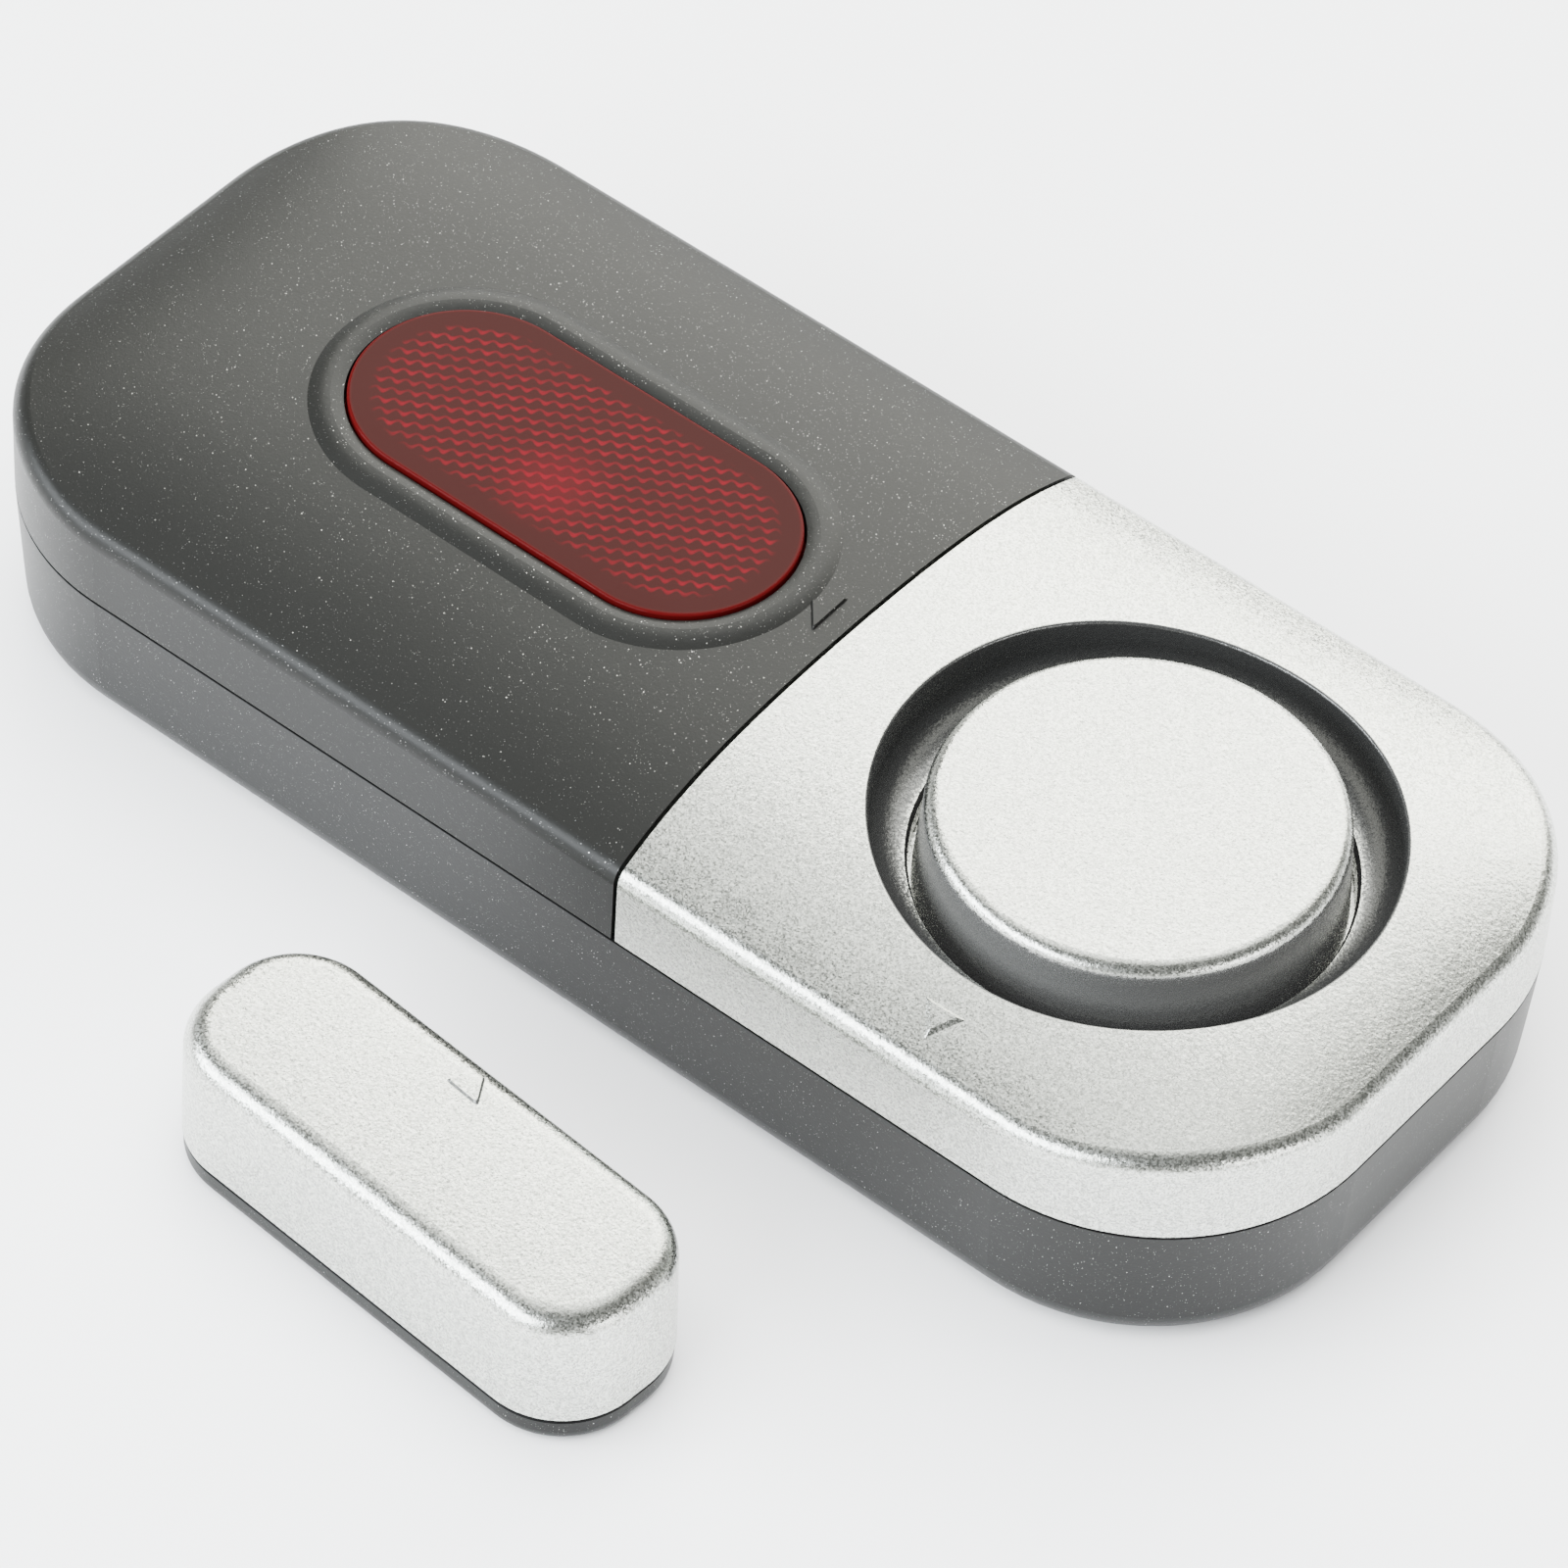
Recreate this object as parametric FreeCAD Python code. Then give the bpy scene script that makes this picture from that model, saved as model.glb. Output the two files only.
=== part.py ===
import FreeCAD, Part
import math
import os

# Door alarm with a separate magnet unit, in millimetres.
# The alarm lies with its mounting face on z = 0 and the middle of its back at the origin.
# Its long axis is X, with the battery end at -X and the sounder end at +X. The magnet
# unit stands on its -Y side.

# Housing
WIDTH = 53.3
HEIGHT = 22.3
CORNER_R = 18.1
PARTING_Z = 12.2
PARTING_GAP = 0.15
WALL = 1.8
CROWN = 3.4
CROWN_EVEN = 0.3
CROWN_MARGIN = 0.3
TOP_EDGE_R = 1.6
INNER_EDGE_R = 0.5
BASE_WALL = 2.0
BASE_FLOOR = 2.0
BASE_INSET = 0.7
BASE_EDGE_R = 2.9
BASE_INNER_R = 1.0

# Two battery cells, head to tail in troughs on either side of the board's tongue
CELL_R = 5.25
CELL_LENGTH = 44.5
CELL_NUB_R = 1.9
CELL_NUB_H = 1.0
CELL_EDGE_R = 0.5
CELL_SEAT_GAP = 0.15
CELL_FLOOR_GAP = 0.4
CELL_RAIL_GAP = 1.45
CELL_TROUGH_GAP = 0.25
SPRING_LENGTH = 5.0
SPRING_WIRE_R = 0.3
SPRING_SMALL_R = 1.8
SPRING_LARGE_R = 3.6
SPRING_TURNS = 3.5
CONTACT_T = 0.4
CONTACT_WIDTH = 9.0
CONTACT_LOW_Z = 3.0
CONTACT_HIGH_Z = 11.6
BRIDGE_HIGH_Z = 6.0
BAY_WALL_T = 1.5
BAY_WALL_TOP_Z = 12.0
TROUGH_WALL_T = 1.0
TROUGH_WALL_TOP_Z = 10.0
TROUGH_WALL_GAP = 1.0
CRADLE_STEPS = (10.0, 26.0, 40.0)
CRADLE_T = 1.4
CRADLE_TOP_Z = 7.4

# Lengths along the alarm: room beside the cells, and the part beyond the seam
BAY_END_ROOM = 12.0
SEAM_ROOM = 5.22
FRONT_LENGTH = 53.28

# Seam between the battery cover and the front cover, an arc seen from above
SEAM_R = 400.0
SEAM_GAP = 0.35
BULKHEAD_SETBACK = 1.2
BULKHEAD_T = 1.5
SEAM_LIP_REACH = 1.6
SEAM_LIP_T = 1.0
SLIDE_CLEARANCE = 0.3

# Rails on the base, and the battery cover's tongues that run under their lips
RAIL_END_ROOM = 1.9
RAIL_SEAM_ROOM = 3.44
RAIL_DEPTH = 2.65
RAIL_WEB_T = 1.2
RAIL_ROOT_Z = 8.0
RAIL_LIP_LOW_Z = 14.0
RAIL_LIP_T = 1.0
RAIL_LIP_GAP = 0.35
TONGUE_SEAM_ROOM = 5.44
TONGUE_T = 1.0
HOLD_RIB_T = 1.2
HOLD_RIB_GAP = 0.5

# Recess around the push button
BOWL_RIM_R = 19.3
BOWL_RIM_FILLET = 0.22
BOWL_DRAFT = 0.35
BOWL_DEPTH = 5.6
BOWL_SLOPE = 0.5
BOWL_CORNER_R = 2.7
BOWL_WALL = 1.5
BUTTON_GAP = 0.35

# Push button
BUTTON_TOP_Z = 23.0
BUTTON_TOP_R = 15.15
BUTTON_FOOT_R = 15.65
BUTTON_EDGE_R = 1.1
BUTTON_SKIN = 1.8
BUTTON_WALL = 1.4
BUTTON_TRAVEL = 1.2
BUTTON_FLANGE_REACH = 1.3
BUTTON_FLANGE_T = 1.0
BUTTON_FLANGE_GAP = 0.35
BUTTON_STEM_R = 3.0
BUTTON_RIB_T = 1.2
BUTTON_RIB_RISE = 1.0
BUTTON_RIBS = 6

# Light window, and the collar moulded around it
LENS_X = -18.7
LENS_LENGTH = 38.2
LENS_WIDTH = 17.9
LENS_RISE = 0.5
LENS_EDGE_R = 0.2
LENS_GAP = 0.22
LENS_FLANGE_REACH = 1.3
LENS_FLANGE_T = 1.0
LENS_SEAT = 0.1
COLLAR_CREST = 1.0
COLLAR_RISE = 0.38
COLLAR_INNER_FALL = 0.45
COLLAR_OUTER = 2.8
COLLAR_ROOT = 0.5
COLLAR_TAIL = 0.24
COLLAR_STEPS = 48

# Circuit board with a tongue under the window
BOARD_DROP = 13.3
BOARD_T = 1.6
BOARD_SEAM_ROOM = 4.16
BOARD_END_ROOM = 4.4
BOARD_SIDE_ROOM = 4.35
BOARD_CORNER_R = 9.0
BOARD_TONGUE_GAP = 1.5
BOARD_TONGUE_REACH = 15.3
BOARD_CLEARANCE = 0.3
POST_R = 2.0
POST_STEP_X = 9.5
POST_Y = 16.5
TONGUE_POST_STEP = 6.2
PEG_R = 0.9
PEG_RISE = 0.7
PEG_CLEARANCE = 0.1
SOUND_HOLES = 8
SOUND_HOLE_R = 1.3
SOUND_HOLE_PITCH_R = 10.6

# Screws that hold the front cover, driven from the back
SCREW_SEAM_ROOM = 8.76
SCREW_SEAM_SIDE = 6.35
SCREW_END_ROOM = 8.0
SCREW_END_SIDE = 9.65
BOSS_R = 3.0
TOWER_R = 3.2
PILOT_R = 0.9
PILOT_TOP_ROOM = 3.6
SHANK_HOLE_R = 1.35
SCREW_LENGTH = 10.0
SCREW_HEAD_R = 2.2
SCREW_HEAD_T = 1.6
SCREW_HEAD_ROUND = 0.5
SCREW_HEAD_GAP = 0.25
SCREW_SINK = 5.0
SCREW_SLOT_REACH = 1.5
SCREW_SLOT_W = 0.7
SCREW_SLOT_DEPTH = 0.8

# Indicator lamps under the window
LAMP_STEP = 12.3
LAMP_R = 2.5
LAMP_FLANGE_R = 2.9
LAMP_FLANGE_H = 1.0
LAMP_HEIGHT = 6.8

# Tactile switch under the button
SWITCH_SIDE = 12.0
SWITCH_H = 3.5
SWITCH_CORNER_R = 1.0
SWITCH_BORE_DEPTH = 3.0
PLUNGER_R = 3.1
PLUNGER_GAP = 0.35
PLUNGER_DEPTH = 1.3
PLUNGER_STOP = 0.3

# Sounder under the board
SOUNDER_R = 15.0
SOUNDER_TOP_ROOM = 1.4
SOUNDER_WALL = 1.2
SOUNDER_LEDGE = 1.5
SOUNDER_LEDGE_DROP = 2.0
SOUNDER_MOUTH_R = 4.0
PIEZO_R = 13.5
PIEZO_T = 0.3
CERAMIC_R = 10.0
CERAMIC_T = 0.25

# Small parts on the board
REED_EDGE_ROOM = 1.5
REED_R = 0.9
REED_LENGTH = 12.0
REED_LEAD_R = 0.3
REED_LEAD_REACH = 2.0
CHIP_SIZE = (6.2, 5.0, 1.5)
CHIP_PLACE = (-7.0, 9.0)
COIL_PLACE = (7.0, 8.5)
COIL_R = 2.6
COIL_H = 1.6
COIL_WAIST = 0.5
CAPACITOR_SIZE = (2.6, 4.2, 1.4)
CAPACITOR_PLACE = (14.0, 12.5)

# Sticky pads in the back
PAD_T = 0.8
PAD_SIZE = (38.0, 26.0)
PAD_CORNER_R = 4.0
PAD_END_ROOM = 12.0
PAD_GAP = 0.3

# Magnet unit
MAGNET_X = 9.8
MAGNET_Y = -48.8
MAGNET_YAW = -4.2
MAGNET_LENGTH = 41.55
MAGNET_WIDTH = 15.3
MAGNET_HEIGHT = 12.9
MAGNET_CORNER_R = 6.65
MAGNET_PARTING_Z = 2.5
MAGNET_CROWN = 0.2
MAGNET_EDGE_R = 2.0
MAGNET_DRAFT = 0.2
MAGNET_BASE_INSET = 0.1
MAGNET_BASE_EDGE_R = 1.2
MAGNET_WALL = 1.4
MAGNET_SPIGOT_H = 1.0
MAGNET_SPIGOT_GAP = 0.3
MAGNET_BAR = (26.0, 8.0, 4.0)
MAGNET_BAR_EDGE = 0.4
MAGNET_BAR_GAP = 0.15
MAGNET_RIB_T = 1.0
MAGNET_PAD_SIZE = (32.0, 9.0)
MAGNET_PAD_CORNER_R = 3.0

# Room that a tool runs past what it cuts, or a rib runs into what carries it
OVERCUT = 1.0

V = FreeCAD.Vector
UP = V(0, 0, 1)
ALONG = V(1, 0, 0)

# Places that follow from the sizes above
bay_length = CELL_LENGTH + SPRING_LENGTH
length = BAY_END_ROOM + bay_length + SEAM_ROOM + FRONT_LENGTH
low_end_x = -length / 2
high_end_x = length / 2
bay_low_x = low_end_x + BAY_END_ROOM
bay_high_x = bay_low_x + bay_length
seam_x = bay_high_x + SEAM_ROOM
seam_centre_x = seam_x + SEAM_R
bowl_x = (seam_x + high_end_x) / 2
cavity_y = WIDTH / 2 - WALL
rail_y = cavity_y - RAIL_DEPTH
cell_y = rail_y - CELL_RAIL_GAP - CELL_R
cell_z = BASE_FLOOR + CELL_FLOOR_GAP + CELL_R
trough_y = cell_y - CELL_R - CELL_TROUGH_GAP - TROUGH_WALL_T
rail_low_x = low_end_x + CORNER_R + RAIL_END_ROOM
rail_high_x = seam_x - RAIL_SEAM_ROOM
tongue_high_x = seam_x - TONGUE_SEAM_ROOM
shoulder_z = HEIGHT - CROWN
hole_r = BUTTON_FOOT_R + BUTTON_GAP
hole_z = HEIGHT - BOWL_DEPTH
bowl_under_z = hole_z - BOWL_WALL
board_z = HEIGHT - BOARD_DROP
board_top_z = board_z + BOARD_T
board_half_y = cavity_y - BOARD_SIDE_ROOM
pilot_depth = HEIGHT - PILOT_TOP_ROOM - PARTING_Z
sounder_h = board_z - BASE_FLOOR - SOUNDER_TOP_ROOM
sounder_ledge_h = sounder_h - SOUNDER_LEDGE_DROP
plunger_top_z = board_top_z + SWITCH_H + BUTTON_TRAVEL + PLUNGER_STOP
screw_places = [(seam_x + SCREW_SEAM_ROOM, side * (WIDTH / 2 - SCREW_SEAM_SIDE)) for side in (1, -1)]
screw_places += [(high_end_x - SCREW_END_ROOM, side * (WIDTH / 2 - SCREW_END_SIDE)) for side in (1, -1)]
post_places = [(bowl_x + a * POST_STEP_X, b * POST_Y) for a in (1, -1) for b in (1, -1)]
post_places += [(LENS_X + a * TONGUE_POST_STEP, 0.0) for a in (1, -1)]
pad_x = [low_end_x + PAD_END_ROOM + PAD_SIZE[0] / 2, high_end_x - PAD_END_ROOM - PAD_SIZE[0] / 2]


def box(low, high):
    size = [b - a for a, b in zip(low, high)]
    return Part.makeBox(*size, V(*low))


def cylinder(r, h, x, y, z, axis=UP):
    return Part.makeCylinder(r, h, V(x, y, z), axis)


def outline(size_x, size_y, r, x=0.0, y=0.0, z=0.0):
    """Closed wire of a rectangle with round corners, centred on x, y."""
    a = size_x / 2
    b = size_y / 2
    k = math.sqrt(0.5) * r
    edges = []
    for sx, sy in ((1, 1), (-1, 1), (-1, -1), (1, -1)):
        cx = x + sx * (a - r)
        cy = y + sy * (b - r)
        side_point = V(x + sx * a, cy, z)
        end_point = V(cx, y + sy * b, z)
        start, end = (side_point, end_point) if sx * sy > 0 else (end_point, side_point)
        if edges:
            edges.append(Part.makeLine(edges[-1].Vertexes[-1].Point, start))
        edges.append(Part.Arc(start, V(cx + sx * k, cy + sy * k, z), end).toShape())
    edges.append(Part.makeLine(edges[-1].Vertexes[-1].Point, edges[0].Vertexes[0].Point))
    return Part.Wire(edges)


def slab(wire, height):
    return Part.Face(wire).extrude(V(0, 0, height))


def housing_outline(inset, z, grow=0.0):
    inset = inset - grow
    return outline(length - 2 * inset, WIDTH - 2 * inset, CORNER_R - inset, z=z)


def racetrack(grow, z, height):
    """Slab in the window's plan shape, whose ends are very nearly half round."""
    size_x = LENS_LENGTH + 2 * grow
    size_y = LENS_WIDTH + 2 * grow
    return slab(outline(size_x, size_y, size_y / 2 - 1e-3, LENS_X, 0, z), height)


def revolve(points, x=0.0, y=0.0):
    """Solid turned about the vertical line through x, y from (radius, z) points."""
    corners = [V(x + r, y, z) for r, z in points]
    wire = Part.makePolygon(corners + corners[:1])
    return Part.Face(wire).revolve(V(x, y, 0), UP, 360)


def crown_block(size_x, size_y, top, crown, depth):
    """Solid under a crowned surface, flat along the middle and falling off at the edges.

    The height is top - crown + crown (1 - u^8)(1 - e v^2 - (1 - e) v^4), with e the even
    share of the fall across the width. These poles give it exactly.
    """
    across = [0, 2 - CROWN_EVEN, 4 * CROWN_EVEN / 3, 2 - CROWN_EVEN, 0]
    surface = Part.BezierSurface()
    surface.increase(8, 4)
    a = size_x / 2 + CROWN_MARGIN
    b = size_y / 2 + CROWN_MARGIN
    for i in range(9):
        for j in range(5):
            lift = crown * (1 - (-1) ** i) * across[j]
            surface.setPole(i + 1, j + 1, V(a * (i - 4) / 4, b * (j - 2) / 2, top - crown + lift))
    return surface.toShape().extrude(V(0, 0, -depth))


def housing_crown(drop):
    return crown_block(length, WIDTH, HEIGHT - drop, CROWN, HEIGHT)


def crown_z(x, y):
    u = x / (length / 2 + CROWN_MARGIN)
    v = y / (WIDTH / 2 + CROWN_MARGIN)
    across = 1 - CROWN_EVEN * v ** 2 - (1 - CROWN_EVEN) * v ** 4
    return HEIGHT - CROWN + CROWN * (1 - u ** 8) * across


def edges_above(shape, z):
    return [e for e in shape.Edges if e.BoundBox.ZMin > z]


def edges_below(shape, z):
    return [e for e in shape.Edges if e.BoundBox.ZMax < z]


def upper_form(inset):
    """Crowned top half of the housing above the parting plane, moved in by a wall."""
    body = slab(housing_outline(inset, PARTING_Z), HEIGHT).common(housing_crown(inset))
    edge_r = max(TOP_EDGE_R - inset, INNER_EDGE_R)
    return body.makeFillet(edge_r, edges_above(body, PARTING_Z + PARTING_GAP))


def seam_side(setback, low_z=0.0):
    """Everything on the sounder side of the seam arc, moved back by setback."""
    return cylinder(SEAM_R - setback, 2 * HEIGHT, seam_centre_x, 0, low_z)


def near_seam(low_z, high_z):
    reach = bowl_x - seam_x
    return box((seam_x - reach, -WIDTH, low_z), (seam_x + reach, WIDTH, high_z))


def bulkhead_band(low_z):
    """Curved wall that follows the seam, a setback behind it."""
    front = seam_side(BULKHEAD_SETBACK, low_z)
    return front.cut(seam_side(BULKHEAD_SETBACK + BULKHEAD_T, low_z))


def base_outer():
    top = housing_outline(0, PARTING_Z)
    foot = housing_outline(BASE_INSET, 0)
    outer = Part.makeLoft([foot, top], True, True)
    return outer.makeFillet(BASE_EDGE_R, edges_below(outer, BASE_EDGE_R))


def base_cavity():
    top = housing_outline(BASE_WALL, PARTING_Z + OVERCUT)
    foot = housing_outline(BASE_WALL + BASE_INSET, BASE_FLOOR)
    cavity = Part.makeLoft([foot, top], True, True)
    return cavity.makeFillet(BASE_INNER_R, edges_below(cavity, BASE_FLOOR + BASE_INNER_R))


def base_shell():
    outer = base_outer()
    shell = outer.cut(base_cavity())
    inner = bay_walls() + rails() + board_posts() + screw_towers()
    shell = shell.fuse(inner + [base_bulkhead(outer)]).removeSplitter()
    cuts = [pad_slab(x, PAD_GAP) for x in pad_x]
    for x, y in screw_places:
        cuts.append(cylinder(SCREW_HEAD_R + SCREW_HEAD_GAP, SCREW_SINK + OVERCUT, x, y, -OVERCUT))
        cuts.append(cylinder(SHANK_HOLE_R, HEIGHT, x, y, 0))
    return shell.cut(cuts)


def bay_walls():
    """Troughs for the two cells: end walls, inner side walls and cradles."""
    low_z = BASE_FLOOR - OVERCUT
    high_x = bay_high_x + CONTACT_T
    low_x = bay_low_x - CONTACT_T
    parts = []
    for side in (1, -1):
        y0, y1 = sorted((side * trough_y, side * (rail_y + OVERCUT)))
        parts.append(box((high_x, y0, low_z), (high_x + BAY_WALL_T, y1, BAY_WALL_TOP_Z)))
        parts.append(box((low_x - BAY_WALL_T, y0, low_z), (low_x, y1, BAY_WALL_TOP_Z)))
        a, b = sorted((side * trough_y, side * (trough_y + TROUGH_WALL_T)))
        parts.append(box((bay_low_x + TROUGH_WALL_GAP, a, low_z), (high_x + CONTACT_T, b, TROUGH_WALL_TOP_Z)))
        for step in CRADLE_STEPS:
            x = bay_low_x + step
            rib = box((x - CRADLE_T / 2, y0, low_z), (x + CRADLE_T / 2, y1, CRADLE_TOP_Z))
            seat = cylinder(CELL_R + CELL_SEAT_GAP, 2 * CRADLE_T, x - CRADLE_T, side * cell_y, cell_z, ALONG)
            parts.append(rib.cut(seat))
    return parts


def base_bulkhead(outer):
    """Wall of the base under the front cover's bulkhead, with a way through for the board."""
    low_z = BASE_FLOOR - OVERCUT
    wall = bulkhead_band(low_z).common(near_seam(low_z, PARTING_Z)).common(outer)
    way = trough_y - BOARD_TONGUE_GAP + BOARD_CLEARANCE
    return wall.cut(box((0, -way, board_z - BOARD_CLEARANCE), (bowl_x, way, HEIGHT)))


def rails():
    """Two upstanding rails whose lips hold the battery cover's tongues down."""
    top_z = RAIL_LIP_LOW_Z + RAIL_LIP_T
    sections = (
        (RAIL_ROOT_Z, PARTING_Z, WIDTH / 2 - BASE_WALL + BASE_INSET),
        (RAIL_ROOT_Z, top_z, rail_y + RAIL_WEB_T),
        (RAIL_LIP_LOW_Z, top_z, cavity_y - RAIL_LIP_GAP),
    )
    parts = []
    for side in (1, -1):
        for low_z, high_z, reach in sections:
            y0, y1 = sorted((side * rail_y, side * reach))
            parts.append(box((rail_low_x, y0, low_z), (rail_high_x, y1, high_z)))
    return parts


def board_posts():
    parts = []
    for x, y in post_places:
        post = cylinder(POST_R, board_z - BASE_FLOOR + OVERCUT, x, y, BASE_FLOOR - OVERCUT)
        parts.append(post.fuse(cylinder(PEG_R, BOARD_T + PEG_RISE, x, y, board_z)))
    return parts


def screw_towers():
    height = PARTING_Z - BASE_FLOOR + OVERCUT
    return [cylinder(TOWER_R, height, x, y, BASE_FLOOR - OVERCUT) for x, y in screw_places]


def pad_slab(x, grow):
    size_x, size_y = PAD_SIZE
    return slab(outline(size_x + 2 * grow, size_y + 2 * grow, PAD_CORNER_R + grow, x), PAD_T)


def bowl_form(grow, inner_z):
    """Recess around the button: steep wall, round corner and a floor that falls to the hole."""
    top_z = HEIGHT + OVERCUT
    rim = BOWL_RIM_R + grow
    wall_r = rim - BOWL_DRAFT
    corner = BOWL_CORNER_R + grow
    floor_z = inner_z + BOWL_SLOPE
    bend = corner * (1 - math.sqrt(0.5))

    def at(r, z):
        return V(bowl_x + r, 0, z)

    floor_rim = at(wall_r - corner, floor_z)
    edges = [
        Part.makeLine(at(0, top_z), at(rim, top_z)),
        Part.makeLine(at(rim, top_z), at(wall_r, floor_z + corner)),
        Part.Arc(at(wall_r, floor_z + corner), at(wall_r - bend, floor_z + bend), floor_rim).toShape(),
        Part.makeLine(floor_rim, at(hole_r, inner_z)),
        Part.makeLine(at(hole_r, inner_z), at(0, inner_z)),
        Part.makeLine(at(0, inner_z), at(0, top_z)),
    ]
    return Part.Face(Part.Wire(edges)).revolve(V(bowl_x, 0, 0), UP, 360)


def front_cover():
    skin = upper_form(0)
    hollow = upper_form(WALL)
    shell = skin.cut(hollow).common(seam_side(SEAM_GAP))
    bulkhead = bulkhead_band(0).common(hollow).common(near_seam(0, 2 * HEIGHT))
    cup = bowl_form(BOWL_WALL, bowl_under_z).common(skin)
    bosses = [cylinder(BOSS_R, HEIGHT, x, y, PARTING_Z).common(skin) for x, y in screw_places]
    cover = shell.fuse([bulkhead, cup, seam_lip()] + bosses)
    cuts = [bowl_form(0, hole_z), cylinder(hole_r, HEIGHT, bowl_x, 0, 0), parting_relief()]
    cuts += [cylinder(PILOT_R, pilot_depth, x, y, PARTING_Z) for x, y in screw_places]
    return round_rim(cover.cut(cuts).removeSplitter())


def seam_lip():
    """Lip that reaches under the battery cover's edge and closes the seam."""
    inset = WALL + SLIDE_CLEARANCE
    skin = upper_form(inset).cut(upper_form(inset + SEAM_LIP_T))
    band = seam_side(-SEAM_LIP_REACH).cut(seam_side(BULKHEAD_SETBACK + BULKHEAD_T))
    return skin.common(band).common(near_seam(RAIL_LIP_LOW_Z, 2 * HEIGHT))


def parting_relief():
    """Thin slot in the outer half of the wall, which shows as the parting line."""
    whole = slab(housing_outline(0, PARTING_Z, OVERCUT), PARTING_GAP)
    return whole.cut(slab(housing_outline(WALL / 2, PARTING_Z), PARTING_GAP))


def round_rim(cover):
    """Small round on the edge where the recess meets the top."""
    rim = []
    for e in cover.Edges:
        b = e.BoundBox
        reach = max(b.XMax - bowl_x, bowl_x - b.XMin, b.YMax, -b.YMin)
        if b.ZMin > shoulder_z and hole_r + OVERCUT < reach < BOWL_RIM_R + BOWL_DRAFT:
            rim.append(e)
    return cover.makeFillet(BOWL_RIM_FILLET, rim)


def track_point(share):
    """Point at that share of the way round under the collar's crest, up on the crown."""
    r = LENS_WIDTH / 2 + LENS_GAP + COLLAR_CREST
    straight = LENS_LENGTH - LENS_WIDTH
    turn = math.pi * r
    way = share * 2 * (straight + turn)
    side = 1 if way < straight + turn else -1
    way = way if side > 0 else way - straight - turn
    if way < straight:
        x = side * (way - straight / 2)
        y = side * r
    else:
        a = (way - straight) / r
        x = side * (straight / 2 + r * math.sin(a))
        y = side * r * math.cos(a)
    return V(LENS_X + x, y, crown_z(LENS_X + x, y))


def window_collar():
    """Soft bead around the window, swept along the crown with one section all the way."""
    path = Part.BSplineCurve()
    shares = [(i + 0.5) / COLLAR_STEPS for i in range(COLLAR_STEPS)]
    path.interpolate(Points=[track_point(s) for s in shares], PeriodicFlag=True)
    start = path.value(path.FirstParameter)
    inner = COLLAR_CREST + COLLAR_ROOT

    def at(out, up):
        return V(start.x, start.y + out, start.z + up)

    crest = at(0, COLLAR_RISE)
    tail = at(COLLAR_OUTER, -COLLAR_TAIL)
    inner_top = at(-inner, COLLAR_RISE - COLLAR_INNER_FALL)
    inner_root = at(-inner, -COLLAR_ROOT)
    outer_root = at(0, -COLLAR_ROOT)
    inward = Part.BezierCurve()
    inward.setPoles([crest, at(-inner / 2, COLLAR_RISE), inner_top])
    outward = Part.BezierCurve()
    outward.setPoles([crest, at(COLLAR_OUTER / 2, COLLAR_RISE), at(COLLAR_OUTER / 2, -COLLAR_TAIL), tail])
    edges = [Part.makeLine(inner_root, inner_top), inward.toShape(), outward.toShape()]
    edges += [Part.makeLine(tail, outer_root), Part.makeLine(outer_root, inner_root)]
    sweep = Part.BRepOffsetAPI.MakePipeShell(Part.Wire([path.toShape()]))
    sweep.setBiNormalMode(UP)
    sweep.add(Part.Wire(Part.__sortEdges__(edges)))
    sweep.build()
    sweep.makeSolid()
    return sweep.shape()


def battery_cover():
    hollow = upper_form(WALL)
    shell = upper_form(0).cut(hollow)
    tongue_low_z = PARTING_Z + SLIDE_CLEARANCE
    rib_low_z = cell_z + CELL_R + HOLD_RIB_GAP
    ribs = []
    for side in (1, -1):
        y = side * cell_y
        rib = box((low_end_x, y - HOLD_RIB_T / 2, rib_low_z), (tongue_high_x, y + HOLD_RIB_T / 2, HEIGHT))
        ribs.append(rib.common(hollow))
        y0, y1 = sorted((side * (rail_y + RAIL_WEB_T + SLIDE_CLEARANCE), side * (cavity_y + WALL / 2)))
        ribs.append(box((rail_low_x, y0, tongue_low_z), (tongue_high_x, y1, tongue_low_z + TONGUE_T)))
    below = slab(housing_outline(0, 0, OVERCUT), PARTING_Z + PARTING_GAP)
    cover = shell.fuse(ribs).cut(below).cut(seam_side(0))
    opening = racetrack(LENS_GAP, PARTING_Z, 2 * HEIGHT)
    return cover.fuse(window_collar()).cut(opening).removeSplitter()


def light_lens():
    body = racetrack(0, PARTING_Z, 2 * HEIGHT).common(housing_crown(-LENS_RISE))
    body = body.makeFillet(LENS_EDGE_R, edges_above(body, shoulder_z))
    under = WALL + LENS_SEAT
    flange = racetrack(LENS_GAP + LENS_FLANGE_REACH, PARTING_Z, 2 * HEIGHT).common(housing_crown(under))
    return body.fuse(flange).cut(housing_crown(under + LENS_FLANGE_T)).removeSplitter()


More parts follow.
